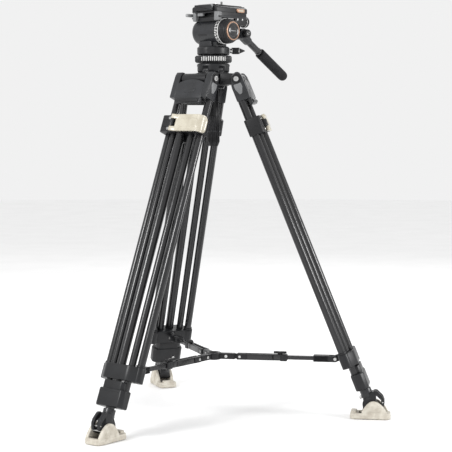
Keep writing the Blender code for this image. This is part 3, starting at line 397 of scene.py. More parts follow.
@dataclass(frozen=True)
class Finish:
    """A surface: two tones of one colour in soft patches, a grain in relief, and a gloss that varies.

    Args:
        name: Material name.
        slot: Material slot of the record; not used.
        tone: Main colour, sRGB hex.
        second: Colour of the patches.
        roughness: Middle roughness.
        metallic: 0 for plastics and paint, 1 for bare metal.
        grain: Size of the grain in millimetres.
        relief: Height of the grain in millimetres.
        patch: Size of the patches in millimetres.
        spread: How much the roughness varies.
        stretch: How many times longer the grain is along the piece's Z than across.
        coat: Clear coat weight.
        turn: Rotation of the grain, as Euler angles.
        specular: Strength of the reflection of a finish that isn't metal.
    """

    name: str
    slot: str
    tone: str
    second: str
    roughness: float
    metallic: float = 0.0
    grain: float = 0.8
    relief: float = 0.03
    patch: float = 30.0
    spread: float = 0.08
    stretch: float = 1.0
    coat: float = 0.0
    turn: tuple = (0.0, 0.0, 0.0)
    specular: float = 0.5

    def make(self) -> bpy.types.Material:
        """Build the material and return it."""
        made = bpy.data.materials.new(self.name)
        made.use_nodes = True
        tree = made.node_tree
        shader = tree.nodes["Principled BSDF"]
        place = add_node(tree, "TexCoord").outputs["Object"]
        lined = add_node(tree, "Mapping", {"Vector": place, "Rotation": self.turn,
                                           "Scale": (1.0, 1.0, self.stretch)}, vector_type="TEXTURE")
        patches = add_node(tree, "TexNoise", {"Vector": place, "Scale": 1 / (self.patch * MM), "Detail": 3.0})
        grain = add_node(tree, "TexNoise", {"Vector": lined.outputs[0], "Scale": 1 / (self.grain * MM),
                                            "Detail": 2.0, "Roughness": 0.6})
        shade = add_node(tree, "MapRange", {"Value": patches.outputs[0], "From Min": 0.35, "From Max": 0.65})
        colour = add_node(tree, "Mix", {"Factor": shade.outputs[0], "A": linear(self.tone),
                                        "B": linear(self.second)}, data_type="RGBA")
        gloss = add_node(tree, "MapRange", {"Value": grain.outputs[0], "From Min": 0.3, "From Max": 0.7,
                                            "To Min": self.roughness - self.spread,
                                            "To Max": self.roughness + self.spread})
        bump = add_node(tree, "Bump", {"Height": grain.outputs[0], "Strength": 0.6,
                                       "Distance": self.relief * MM})
        tree.links.new(colour.outputs["Result"], shader.inputs["Base Color"])
        tree.links.new(gloss.outputs[0], shader.inputs["Roughness"])
        tree.links.new(bump.outputs[0], shader.inputs["Normal"])
        shader.inputs["Metallic"].default_value = self.metallic
        shader.inputs["Specular IOR Level"].default_value = self.specular
        shader.inputs["Coat Weight"].default_value = self.coat
        shader.inputs["Coat Roughness"].default_value = 0.2
        return made


# Powder-coated magnesium alloy casting: satin near-black with a fine sand-like tooth.
CASTING = Finish("powder_coated_magnesium", "black_casting", "151517", "1b1c1e", 0.38, 0.0, 0.9, 0.03,
                 specular=0.36)
# The same casting where the mould was polished: a smoother, lighter dark grey.
CASTING_SMOOTH = Finish("satin_cast_magnesium", "black_casting", "1e1f21", "26272a", 0.3, 0.0, 1.2, 0.012,
                        specular=0.45)
# Mid grey with a dull sheen. On the hip yokes' raised side pads it is painted light: the faces that the light
# falls on are drawn lighter. On the plate bed's corner posts and front step it is their pale grey.
CASTING_PALE_AND_PAINTED_LIGHT = Finish("pale_grey_and_painted_light_magnesium", "black_casting", "6a6b6c", "757677", 0.45, 0.1, 0.7, 0.02)
# Glass-filled nylon: matt black with a coarse spark-eroded texture.
NYLON = Finish("glass_filled_nylon", "black_nylon", "131315", "19191b", 0.46, 0.0, 0.7, 0.04, specular=0.34)
# Gloss ABS for dial caps: deep black with a clear reflection.
ABS_GLOSS = Finish("gloss_black_abs", "black_nylon", "0d0d0f", "121214", 0.14, 0.0, 2.0, 0.004, coat=0.4)
# Ivory ABS, moulded and lightly polished: grey-ivory with a soft broad highlight.
CREAM = Finish("ivory_abs", "cream_plastic", "bdb7a7", "aea796", 0.28, 0.0, 1.5, 0.012, 22.0, 0.05, coat=0.3)
# Anodised rose aluminium trim: thin warm line with a satin glow.
ROSE_TRIM = Finish("rose_anodised_trim", "cream_plastic", "b08d76", "a4806a", 0.3, 0.4, 0.6, 0.01)
# Ivory thermoplastic rubber of the boots: chalky, with scuffed greyer patches.
CREAM_RUBBER = Finish("ivory_thermoplastic_rubber", "cream_rubber", "cbc6ba", "b2ab9e", 0.7, 0.0, 1.0, 0.06,
                      14.0)
# The boot's channel floor, brown-grey: painted shade in the recess between the walls, under the foot casting.
CHANNEL_PAINTED_SHADE = Finish("painted_shade_boot_channel", "cream_rubber", "6b6259", "5a524a", 0.8, 0.0, 1.0, 0.08, 10.0)
# Closed-cell foam grip: very dull black with open pores, drawn at 1.1 mm so that they show.
FOAM = Finish("closed_cell_foam", "black_rubber", "161618", "1d1d1f", 0.82, 0.0, 1.1, 0.25, 12.0,
              specular=0.3)
# Moulded rubber pad: dull black.
RUBBER = Finish("moulded_rubber", "black_rubber", "161618", "1e1e20", 0.78, 0.0, 0.9, 0.08)
# Turned stainless steel: bright, with fine lathe lines.
STEEL = Finish("turned_stainless_steel", "bright_steel", "c9c9c8", "b9b9b8", 0.27, 1.0, 0.5, 0.01)
# Bead-blasted aluminium plate: pale grey, evenly dull.
ALLOY = Finish("bead_blasted_aluminium", "grey_alloy", "8e8f90", "828384", 0.46, 0.55, 0.6, 0.03)
# Matt white: printed scale dashes and index lines, and the painted highlights on the pan drag ring's teeth.
PRINT_AND_PAINTED_HIGHLIGHT = Finish("white_print_and_painted_highlight", "black_casting", "e4e4e2", "d6d6d4", 0.6, 0.0, 1.0, 0.005)


def anodised(name: str, turn: tuple) -> Finish:
    """Black anodised tube: semi-gloss with fine drawing lines along the tube, here 0.6 mm apart
    instead of a few hundredths so that they show, and a long soft highlight."""
    return Finish("black_anodised_" + name, "black_anodised", "131315", "19191b", 0.24, 0.0, 0.6, 0.002,
                  60.0, 0.03, 120.0, 0.0, turn, 0.55)


class Palette:
    """Materials by finish, each made once."""

    def __init__(self) -> None:
        """Start empty."""
        self.made: dict[str, bpy.types.Material] = {}

    def of(self, finish: Finish) -> bpy.types.Material:
        """Return the material of a finish, making it at its first use."""
        if finish.name not in self.made:
            self.made[finish.name] = finish.make()
        return self.made[finish.name]


PALETTE = Palette()


def piece(name: str, body: str, place: Matrix, layers: Sequence[tuple],
          nodes: Sequence[str]) -> bpy.types.Object:
    """Make one visible piece in place, riding its body and standing for its CAD nodes.

    Args:
        name: Name of the piece.
        body: CAD body that it rides on.
        place: Frame of its points.
        layers: (finish, shells) pairs; each finish becomes one material of the piece, in order.
        nodes: CAD nodes that it replaces.

    Returns:
        The object.
    """
    pairs = [(shell, number) for number, (_, shells) in enumerate(layers) for shell in shells]
    made = bpy.data.objects.new(name, mesh_of(pairs, place))
    bpy.context.scene.collection.objects.link(made)
    for finish, _ in layers:
        made.data.materials.append(PALETTE.of(finish))
    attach(made, body)
    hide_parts(*nodes)
    LOG.info("%s: %d faces on body %s", name, len(made.data.polygons), body)
    return made


def screw_head(radius: float, height: float, socket: float) -> Shell:
    """Socket-head screw along Z from 0: a disc whose face drops into a hexagonal recess of 0.6 its height."""
    angle = np.arange(36) * 2 * pi / 36
    hexed = socket / np.cos((angle + pi / 6) % (pi / 3) - pi / 6)
    rims = [(radius, 0.0), (radius, height * 0.75), (radius * 0.9, height)]
    loops = [np.column_stack([r * np.cos(angle), r * np.sin(angle), np.full(36, z)]) for r, z in rims]
    loops += [np.column_stack([hexed * np.cos(angle), hexed * np.sin(angle), np.full(36, z)])
              for z in (height, height * 0.4)]
    return loft(np.stack(loops))


# ------------------------------------------------------------------ legs

@dataclass
class TubeSizes:
    """Tubes of a leg, as (offset outwards, offset across, radius) in the leg frame."""

    outer: tuple = (-8.0, 45.0, 8.5)
    middle: tuple = (-1.0, 25.5, 8.0)
    lower: tuple = (5.0, 0.0, 10.0)
    slide: float = 0.4


@dataclass
class Leg:
    """One leg with its foot and spreader arm.

    Args:
        name: front, right or rear.
        tubes: Tube places and radii.
        yoke: Half width of the hip casting and of its slot.
        block: Half width, inner and outer offset of the blocks on the tubes.
        slider: Bottom and top of the slider block.
        bracket: Bottom and top of the guide bracket.
        clamp: Bottom, shoulder and top of the foot clamp.
        lever_u: Offset across of the lock lever's pin.
        lever: Thickness of the lever and radius of its barrel.
        boot: Inner end, outer end, half width, channel half width and pivot height of the boot.
    """

    name: str
    tubes: TubeSizes = field(default_factory=TubeSizes)
    yoke: tuple = (54.0, 37.0)
    block: tuple = (57.5, -20.0, 17.0)
    slider: tuple = (-133.0, -94.0)
    bracket: tuple = (-697.0, -664.0)
    clamp: tuple = (-757.0, -718.0, -701.0)
    lever_u: float = -20.0
    lever: tuple = (4.5, 4.4)
    boot: tuple = (-50.0, 42.0, 23.0, 14.0, 25.6)

    def __post_init__(self) -> None:
        """Work out the leg's frames and its tube finish from the joints."""
        across = axis_of("hip_" + self.name)
        up = -axis_of("stage_slide_" + self.name)
        self.place = joint_frame(pivot_of("hip_" + self.name), across, up)
        self.upright = {key: joint_frame(pivot_of(f"{key}_{self.name}"), across, Vector((0, 0, 1)))
                        for key in ("boot", "arm", "thumb_screw")}
        self.latch = joint_frame(pivot_of("lock_lever_" + self.name), across, up)
        self.finish = anodised("tube_" + self.name, tuple(self.place.to_euler()))

    def make(self, key: str, body: str, place: Matrix, layers: Sequence[tuple]) -> None:
        """Make one of the leg's pieces and let it stand for the CAD node of the same name."""
        node = f"{key}_{self.name}"
        piece(node + "_look", f"{body}_{self.name}", place, layers, [node])

    def pair(self, which: tuple, low: float, high: float, grow: float = 0.0,
             edge: float = 0.6) -> list[Shell]:
        """Both tubes of a stage, or their bores when grown by a clearance."""
        offset, across, radius = which
        sides = (0,) if across == 0 else (-1, 1)
        return [bar(radius + grow, low, high, edge).at(offset, side * across) for side in sides]

    def bores(self, which: tuple, low: float, high: float, past: float = 2.0) -> list[Shell]:
        """Cutters for the bores of a stage's tubes, which run past both faces of the block."""
        return self.pair(which, low - past, high + past, self.tubes.slide)

    def hip_yoke(self) -> None:
        """Hip casting: two cheeks whose raised side pads are drawn pale grey as painted light, an arched
        cover, an apron bar and bolt rings.
        """
        half, slot = self.yoke
        side = [(-17, -50), (-17, -14), (-13, 2), (-7, 11), (3, 15), (10, 13), (13, 5), (14, -16), (14, -50)]
        cheeks = mirrored([slab(side, slot, half, 1.3, Axis.Y, 2.5)])
        top = np.linspace(-1, 1, 21)
        # The cover's upper edge: highest in the middle, dipping by the square of the offset to the ears.
        ridge = np.column_stack([top[::-1] * slot, -6.5 - 8.5 * top[::-1] ** 2])
        front = [(-slot - 1, -52), (slot + 1, -52), (slot + 1, -13), *ridge.tolist(), (-slot - 1, -13)]
        cover = slab(front, 13.0, 14.3, 0.5, Axis.X)
        backing = block((5.5, 13.3), (-slot - 1, slot + 1), (-52, -17), 1.0, 1.5)
        apron = slab([(-36, -64), (36, -64), (39, -49), (-39, -49)], 5.0, 14.4, 1.8, Axis.X, 2.5)
        badge = slab([(-17, -39), (15, -37), (17, -28), (-15, -29)], 14.0, 14.75, 0.35, Axis.X, 3.0)
        roller = bar(5.0, -33, 33, 1.0).along_y().at(12.5, 0, -57.5)
        ribs = mirrored([slab([(-15, -48), (-15, -16), (-3, -14), (-3, -48)], slot - 3, slot + 1, 0.8,
                              Axis.Y, 2.0)])
        plate = [(-14, -47), (-14, -15), (-11, -2), (-6, 8), (3, 12), (8, 10.5), (10, 4), (11, -16),
                 (11, -47)]
        faces = mirrored([slab(plate, half - 0.3, half + 0.25, 0.2, Axis.Y, 2.0)])
        # The raised side pads are drawn pale grey: painted light on the faces that the light falls on.
        painted_lit_shield = mirrored([slab([(-11, -11), (6, -11), (7, -20), (1, -35), (-5, -36), (-11, -22)],
                                half, half + 0.9, 0.35, Axis.Y, 2.5)])
        rings = mirrored([tube_ring(8.8, 11.5, half - 0.3, half + 1.4).along_y()])
        self.make("hip_yoke", "leg", self.place,
                  [(CASTING, [backing, roller] + ribs),
                   (CASTING_SMOOTH, cheeks + [cover, badge, apron] + faces),
                   (CASTING_PALE_AND_PAINTED_LIGHT, painted_lit_shield), (NYLON, rings)])

    def plan(self, chamfer: float, inner: float, outer: float) -> list:
        """Plan of a block on the tubes, with its four corners cut off."""
        half = self.block[0]
        return [(inner, chamfer - half), (inner + chamfer, -half), (outer - chamfer, -half),
                (outer, chamfer - half),
                (outer, half - chamfer), (outer - chamfer, half), (inner + chamfer, half),
                (inner, half - chamfer)]

    def outer_frame(self) -> None:
        """Outer tubes bonded into the guide bracket, with the lug of the spreader arm."""
        low, high = self.bracket
        half, inner, outer = self.block
        pivot = self.place.inverted() @ pivot_of("arm_" + self.name)
        body = slab([(inner + 3, -44), (0, -half + 4), (outer - 3, -36), (outer, -30), (outer, 30),
                     (outer - 3, 36), (0, half - 4), (inner + 3, 44)], low, high, 1.6, corner=3.0)
        bores = self.bores(self.tubes.middle, low, high) + self.bores(self.tubes.lower, low, high)
        body = cut(body, bores)
        lobes = mirrored([bar(12.3, low, high, 1.6).at(*self.tubes.outer[:2])])
        collars = mirrored([bar(10.4, high - 0.5, high + 5.0, 1.0).at(*self.tubes.outer[:2])])
        tubes = self.pair(self.tubes.outer, low + 4, -50.3)
        eye = arc((pivot.x, pivot.z), 7.5, 90, 270)
        lug = slab([(inner + 8, pivot.z + 7.5)] + eye + [(inner + 8, pivot.z - 7.5)],
                   -5, 5, 0.8, Axis.Y)
        self.make("outer_frame", "leg", self.place,
                  [(self.finish, tubes), (CASTING, [body, lug] + lobes), (NYLON, collars)])

    def slider_block(self) -> None:
        """Block that clamps on the outer tubes, with grooves, the lever's barrel, its pins and a skirt."""
        low, high = self.slider
        half, inner, outer = self.block
        body = slab(self.plan(5, inner, outer), low, high, 1.4, corner=2.5)
        bores = self.bores(self.tubes.outer, low, high) + self.bores(self.tubes.lower, low, high)
        grooves = [cutter_box((outer - 0.9, outer + 4), (-half + 6, self.lever_u - 14), (z, z + 1.2))
                   for z in (low + 11.0, high - 12.2)]
        body = cut(body, bores + grooves)
        centre = (low + high) / 2
        pivot = outer + 0.4 + self.lever[1]
        barrel = bar(4.3, centre - 8.3, centre + 8.3, 0.6).at(pivot, self.lever_u)
        root = block((outer - 2, pivot + 2), (self.lever_u - 4.3, self.lever_u + 3.5),
                     (centre - 8.3, centre + 8.3))
        skirt = cut(block((-16.5, -6), (-16.5, 16.5), (low - 17, low + 2), 1.0, 2.5),
                    self.pair(self.tubes.lower, low - 20, low + 4, self.tubes.slide))
        pins = [screw_head(3.3, 1.3, 1.5).along_x().at(outer - 0.2, self.lever_u - 12.5, z)
                for z in (low + 7, high - 7)]
        self.make("slider_block", "stage", self.place,
                  [(NYLON, [body]), (CASTING_SMOOTH, [skirt, barrel, root]), (STEEL, pins)])

    def lever_plate(self) -> Shell:
        """Curved lever plate as one grid over its length s and its height w.

        s runs from the prongs over the block's front, round its corner (a quarter circle) and down its
        side. The free end is rounded: at height w the plate ends at
        s_end - R + sqrt(R^2 - max(|w| - h + R, 0)^2). The thickness is a base, plus a rim near the edge,
        plus a raised inner panel; both steps are smoothsteps of the distance from a rounded rectangle.
        """
        half, _, outer = self.block
        inner, bend, corner = outer + 0.4, 9.0, 11.0
        reach = (self.slider[1] - self.slider[0]) / 2
        start, side = -10.5, half + 0.4
        flat, turn = side - bend - start, bend * pi / 2
        total = flat + turn + (inner - bend + 2.0)
        w = np.linspace(-reach, reach, 49)
        over = np.maximum(np.abs(w) - reach + corner, 0)
        end = total - corner + np.sqrt(corner ** 2 - over ** 2)
        s = np.linspace(0, 1, 72)[None, :] * end[:, None]
        height = np.repeat(w[:, None], 72, 1)
        angle = np.clip(s - flat, 0, turn) / bend
        along = np.minimum(s, flat)
        down = np.maximum(s - flat - turn, 0)
        v = inner - bend + bend * np.cos(angle) - down
        u = start + along + bend * np.sin(angle)
        normal = np.stack([np.cos(angle), np.sin(angle)], -1)
        rim = 1 - smooth_step(2.6, 4.0, self.depth(s, height, 0, total, reach, corner))
        panel = smooth_step(0.0, 1.2, self.depth(s, height, 12, total - 22, 10.5, 5))
        thickness = self.lever[0] - 1.2 + 0.7 * rim + 1.1 * panel
        outside = np.stack([v, u], -1) + normal * thickness[..., None]
        inside = np.stack([v, u], -1)
        loop = np.concatenate([inside, outside[:, ::-1]], 1)
        return loft(np.concatenate([loop, np.repeat(w[:, None, None], loop.shape[1], 1)], -1))

    @staticmethod
    def depth(s: np.ndarray, w: np.ndarray, first: float, last: float, half: float,
              corner: float) -> np.ndarray:
        """Distance inwards from a rounded rectangle: first..last along s, -half..half along w."""
        a = np.abs(s - (first + last) / 2) - (last - first) / 2 + corner
        b = np.abs(w) - half + corner
        return corner - np.hypot(np.maximum(a, 0), np.maximum(b, 0)) - np.minimum(np.maximum(a, b), 0)

    def lock_lever(self) -> None:
        """Ivory lever: curved plate with a rim and a raised panel, and two prongs round the barrel."""
        low, high = self.slider
        thickness, barrel = self.lever
        reach = (high - low) / 2
        outer = self.block[2]
        pivot = (outer + 0.4 + barrel, self.lever_u)
        prong = arc(pivot, barrel, 0, -180, 8) + [(outer + 0.4, -8), (outer + 0.4 + thickness - 0.5, -8)]
        prongs = [slab(prong, a, b, 1.4) for a, b in ((-reach, -9.1), (9.1, reach))]
        pins = [bar(2.2, a, b, 0.3).at(*pivot)
                for a, b in ((-reach - 0.1, -reach + 1), (reach - 1, reach + 0.1))]
        shift = (-pivot[0], -pivot[1], 0)
        cream = [shell.at(*shift) for shell in [self.lever_plate()] + prongs]
        self.make("lock_lever", "lever", self.latch,
                  [(CREAM, cream), (STEEL, [pin.at(*shift) for pin in pins])])

    def middle_frame(self) -> None:
        """Middle tubes bonded into the foot clamp: a narrower neck over a chamfered block with a screw."""
        low, shoulder, top = self.clamp
        outer = self.block[2] + 2
        plan = [(-12, -31), (-5, -38), (outer - 8, -38), (outer, -30), (outer, 30), (outer - 8, 38),
                (-5, 38), (-12, 31)]
        lower = self.tubes.lower
        body = cut(slab(plan, low, shoulder, 3.0, corner=2.0), self.bores(lower, low, shoulder))
        neck_plan = [(-10, -24), (-4, -30), (outer - 8, -30), (outer - 2, -24), (outer - 2, 24),
                     (outer - 8, 30), (-4, 30), (-10, 24)]
        neck = cut(slab(neck_plan, shoulder - 3, top, 1.2, corner=1.5),
                   self.pair(lower, shoulder - 6, top + 2, self.tubes.slide))
        tubes = self.pair(self.tubes.middle, shoulder - 10, self.slider[1] - 2)
        seat = tube_ring(3.6, 5.4, -0.5, 0.6).along_x().turned(180).at(-12, -15, low + 13)
        bolt = screw_head(3.4, 0.9, 1.6).along_x().turned(180).at(-11.7, -15, low + 13)
        line = block((outer - 0.6, outer + 0.4), (-27, 27), (shoulder - 7, shoulder - 6), 0.3, 0.3)
        self.make("middle_frame", "stage", self.place,
                  [(self.finish, tubes), (CASTING, [body, neck, seat, line]), (STEEL, [bolt])])

    def lower_tube(self) -> None:
        """Lower tube."""
        self.make("lower_tube", "lower", self.place,
                  [(self.finish, self.pair(self.tubes.lower, -777.7, -96))])

    def foot_fork(self) -> None:
        """Collar and foot casting: an arch in the boot's channel with a forked strap in front of it."""
        drop = self.place.inverted() @ self.upright["boot"]
        collar = spun(eased([(10.3, -761), (13.5, -761), (13.5, -779), (12.6, -779.6), (12.6, -781),
                             (13.3, -781.6), (13.3, -786), (8, -786)], 0.6)[::-1], 40).at(5.0)
        arch = slab([(-16, 25), (-22, 9), (-20, -4), (-10, -8), (6, -8), (13, 2), (9, 16), (9, 28), (4, 38),
                     (-4, 36)],
                    -12.5, 12.5, 1.2, Axis.Y, 3.0)
        strap = slab([(4, 39.5), (11, 39), (24, 27), (28, 18), (28, 6), (22, -2), (8, -8), (6, -2), (17, 4),
                      (21, 9), (20.5, 18), (10, 28), (3, 31)], 5.0, 12.5, 0.9, Axis.Y, 1.6)
        pins = [bar(1.5, -12.7, 12.7, 0.3).along_y().at(x, 0, z) for x, z in ((24, 13), (24.5, 3))]
        axle = bar(2.6, -13.6, 13.6, 0.3).along_y()
        black = [shell.moved(drop) for shell in [arch] + mirrored([strap])]
        steel = [shell.moved(drop) for shell in pins + [axle]]
        knob = spun(eased([(2.0, 0), (3.6, 0), (3.6, 5), (1.8, 6.5)], 0.8),
                    20).along_x().turned(180).at(-8.2, 0, -776)
        self.make("foot_fork", "lower", self.place,
                  [(CASTING_SMOOTH, [collar]), (CASTING, black), (STEEL, steel + [knob])])

    def boot_piece(self) -> None:
        """Boot: treaded sole, arched flanks with raised panels, a channel whose floor is in painted shade,
        and a toe block.
        """
        inner, outer, half, channel, drop = self.boot
        plan = arc((outer - 12, half - 12), 12, 0, 90, 8) + arc((inner + 12, half - 12), 12, 90, 180, 8)
        plan += arc((inner + 12, 12 - half), 12, 180, 270, 8) + arc((outer - 12, 12 - half), 12, 270, 360, 8)
        sole = slab(plan, 1.4, 8.0, 1.2)
        band = slab([(x * 0.985, y * 0.985) for x, y in plan], 6.0, 13.6, 1.6)
        band = cut(band, [cutter_box((inner + 20, outer - 9), (-channel, channel), (4, 20))])
        flank = [(-27, 5), (38.5, 5), (36, 14), (30, 24), (22.5, 33), (13, 40), (4, 42.4), (-5, 40),
                 (-13.5, 32), (-21, 21)]
        wall = slab(flank, channel, half - 1.2, 1.4, Axis.Y, 4.0)
        panel = slab([(-15, 18), (21, 18), (17, 27), (11, 34), (4, 37), (-4, 34), (-10, 27)], half - 1.6,
                     half - 0.5, 0.5, Axis.Y, 4.0)
        pocket = slab([(8, 6), (22, 6), (21, 13), (16, 15), (10, 12)], half - 1.4, half - 0.3, 0.4, Axis.Y,
                      3.0)
        toe = block((inner + 2.0, inner + 15), (-13.5, 13.5), (6, 18.5), 1.8, 3.5)
        tread = [block((x, x + 5.5), (-half + 4, half - 4), (0, 3), 0.6, 1.0)
                 for x in np.arange(inner + 9, outer - 12, 10)]
        # The channel floor is drawn dark brown-grey: painted shade in the recess.
        floor = block((inner + 20, outer - 9), (-channel - 0.2, channel + 0.2), (7.6, 8.4), 0.2, 1.0)
        ivory = mirrored([wall, panel, pocket]) + [sole, band, toe] + tread
        self.make("boot", "foot", self.upright["boot"],
                  [(CREAM_RUBBER, [shell.at(z=-drop) for shell in ivory]), (CHANNEL_PAINTED_SHADE, [floor.at(z=-drop)])])

    def spreader_arm(self) -> None:
        """Spreader arm: leg end with ears and rod, slotted tube with housings, and the thumb screw."""
        pin, joint, bracket, tip = 0.0, -110.0, -50.0, -227.0
        ears = mirrored([slab([(bracket + 1, -7)] + arc((pin, 0), 7.0, -90, 90) + [(bracket + 1, 7)], 5.4,
                              10.7, 0.8, Axis.Y)])
        shank = block((bracket, -14), (-10.7, 10.7), (-7, 7), 1.0, 2.5)
        rod = block((joint - 28, bracket + 4), (-5.5, 5.5), (-4.5, 4.5), 0.8, 1.5, Axis.X)
        bolts = mirrored([screw_head(3.6, 1.2, 1.6).along_y().at(pin, 10.5, 0)])
        self.make("arm_bracket", "arm", self.upright["arm"],
                  [(CASTING, ears + [shank]), (self.finish, [rod]), (STEEL, bolts)])
        rails = mirrored([block((tip, -140), (3.5, 8.2), (-7, 7), 0.8, 1.5, Axis.Y)])
        body = cut(block((-146, joint), (-8.2, 8.2), (-7, 7), 0.9, 1.5, Axis.X),
                   [block((joint - 32, joint + 5), (-5.8, 5.8), (-4.8, 4.8), 0.2, 1.0, Axis.X)])
        collar = cut(block((joint - 16, joint - 1), (-9.6, 9.6), (-8.2, 7.2), 0.9, 2.0, Axis.X),
                     [block((joint - 18, joint + 5), (-7, 7), (-6, 6), 0.2, 1.0, Axis.X)])
        housings = mirrored([block((tip + 0.5, tip + 24), (7.4, 9.8), (-6.8, 6.8), 0.8, 2.0, Axis.Y)])
        studs = mirrored([screw_head(3.0, 1.1, 1.3).along_y().at(tip + 7, 9.6, 0)])
        self.make("arm_tube", "arm", self.upright["arm"],
                  [(self.finish, rails + [body]), (CASTING, [collar] + housings), (STEEL, studs)])
        foot = spun(eased([(3.0, 0.0), (5.5, 0.0), (5.5, 3.0), (3.0, 3.2)], 0.5), 36, Flutes(12, 0.5, 5.0))
        wing = slab([(-15, -1.6), (-8, -3.5), (8, -3.5), (15, -1.6), (15, 1.6), (8, 3.5), (-8, 3.5),
                     (-15, 1.6)],
                    1.5, 6.4, 1.1, corner=2.0)
        cap = spun(eased([(2.0, 6.0), (2.6, 6.0), (2.6, 6.5), (1.0, 6.5)], 0.2), 20)
        self.make("thumb_screw", "arm_screw", self.upright["thumb_screw"],
                  [(NYLON, [foot, wing]), (STEEL, [cap])])

    def build(self) -> None:
        """Make the whole leg."""
        for step in (self.hip_yoke, self.outer_frame, self.slider_block, self.lock_lever, self.middle_frame,
                     self.lower_tube, self.foot_fork, self.boot_piece, self.spreader_arm):
            step()


# ------------------------------------------------------------------ crown

@dataclass
class Crown:
    """Crown casting, half ball, hip bolts, tie-down and spreader hub, round the stand's axis.

    Args:
        hip: Radius and height of the hip pins.
        lug: Half width and radius of the crown's lugs.
        core: Radius, bottom and top of the ring that holds the bowl.
        hub: Radius of the spreader hub, radius of its pivots and its height.
    """

    hip: tuple = (60.0, 771.0)
    lug: tuple = (34.0, 12.5)
    core: tuple = (36.0, 757.0, 787.0)
    hub: tuple = (18.0, 62.0, 135.0)

    def __post_init__(self) -> None:
        """Take the stand's axis from the pan joint and the legs' directions from the hip joints."""
        pan = pivot_of("pan")
        self.place = Matrix.Translation((pan.x, pan.y, 0)) @ Matrix.Scale(MM, 4)
        self.turns = {}
        for name in LEG_NAMES:
            across = axis_of("hip_" + name)
            self.turns[name] = np.degrees(np.arctan2(-across.x, across.y))

    def around(self, shells: Sequence[Shell]) -> list[Shell]:
        """Copies of the shells turned to each leg."""
        return [shell.turned(turn) for turn in self.turns.values() for shell in shells]

    def casting(self) -> None:
        """Crown: a ring with three lugs, each a rounded drum on the hip pin with ribs behind it."""
        radius, low, high = self.core
        half, drum = self.lug
        reach, height = self.hip
        bore = 28.8
        ring = spun(eased([(bore, low), (radius, low), (radius, high), (bore, high)], 2.5, 3, True), 64,
                    ring=True)
        clamp = tube_ring(28.9, radius - 1.5, high - 0.4, high + 0.2, 0.1)
        drum_bar = bar(drum, -half, half, 1.6).along_y().at(reach, 0, height)
        web = slab([(20, -12), (reach - 2, -12.3), (reach, 12.3), (reach - 18, 13.4), (20, 14)], -half,
                   half, 1.4, Axis.Y, 1.5).at(z=height)
        ribs = [slab([(28, 12.8), (reach - 16, 12.8), (reach - 10, 11), (28, 15.6)], u - 1.6, u + 1.6, 0.5,
                     Axis.Y).at(
            z=height) for u in (-20.0, 20.0)]
        seam = block((reach - 0.5, reach + 12.4), (-0.7, 0.7), (height - 4, height + 3), 0.3, 0.3)
        lugs = self.around([drum_bar, web] + ribs)
        seams = self.around([seam])
        piece("crown_casting_look", "crown", self.place,
              [(CASTING, [ring] + lugs), (CASTING_SMOOTH, [clamp] + seams)], ["crown_casting"])

    def half_ball(self) -> None:
        """Half ball with its stud and its flange, which has six pockets sunk in its rim.

        The pockets lower the rim's radius by 3.2 mm times a bump that is 1 in the middle of each pocket
        and falls to 0 smoothly at its sides, and the same with height.
        """
        ball = spun([(5, 700), (5, 764), (20, 764), (25, 775), (28, 787.3), (32, 787.6)], 64)
        levels = np.array([787.4, 788.2, 789.4, 791, 793, 795.5, 798, 800, 801.5, 803, 805, 806.4, 807.3])
        radii = np.array([34.6, 36.2, 37.0, 37.3, 37.5, 37.5, 37.5, 37.5, 37.5, 37.5, 37.2, 36.2, 34.0])
        angle = np.arange(180) * 2 * pi / 180
        across = np.clip((np.cos(6 * angle) - 0.1) * 2.2, 0, 1)
        upwards = np.clip(1.6 - np.abs(levels - 794.5) / 4.0, 0, 1)
        radius = radii[:, None] - 3.4 * across[None, :] * upwards[:, None]
        flange = loft(np.stack([radius * np.cos(angle), radius * np.sin(angle),
                                np.repeat(levels[:, None], 180, 1)], -1))
        spindle = bar(28.4, 806, 825.4, 0.5, 64)
        piece("half_ball_look", "crown", self.place,
              [(CASTING, [flange]), (CASTING_SMOOTH, [ball, spindle])], ["half_ball"])

    def hip_pins(self) -> None:
        """Hip bolts: a black shaft with a bright socket head sunk in a dark washer at each end."""
        reach, height = self.hip
        for name, turn in self.turns.items():
            shaft = bar(5.0, -54.4, 54.4, 0.3).along_y()
            washers = mirrored([tube_ring(6.3, 8.5, 54.4, 57.2, 0.5).along_y()])
            heads = mirrored([screw_head(6.2, 2.9, 3.0).at(z=54.4).along_y()])
            bolt = [[shell.at(reach, 0, height).turned(turn) for shell in group]
                    for group in (heads, [shaft] + washers)]
            piece(f"hip_pin_{name}_look", "crown", self.place, [(STEEL, bolt[0]), (NYLON, bolt[1])],
                  [f"hip_pin_{name}"])

    def tie_down(self) -> None:
        """Tie-down: a washer under the crown and a fluted bell grip."""
        washer = spun(eased([(5.4, 756.6), (26, 756.6), (24, 750.6), (11, 749.6), (5.4, 749.6)], 0.8, 3,
                            True), 56,
                      ring=True)
        grip = spun(eased([(10.5, 620), (14.3, 630), (14, 652), (15.2, 655), (15.2, 684), (13, 691),
                           (13, 744), (11, 750)], 1.5), 96, Flutes(16, 0.9, 13.9, 2.0))
        ring = tube_ring(14.0, 15.4, 652.0, 655.0, 0.5)
        piece("tie_down_grip_look", "tie_down", self.place,
              [(NYLON, [grip]), (CASTING_SMOOTH, [washer, ring])], ["tie_down_grip"])

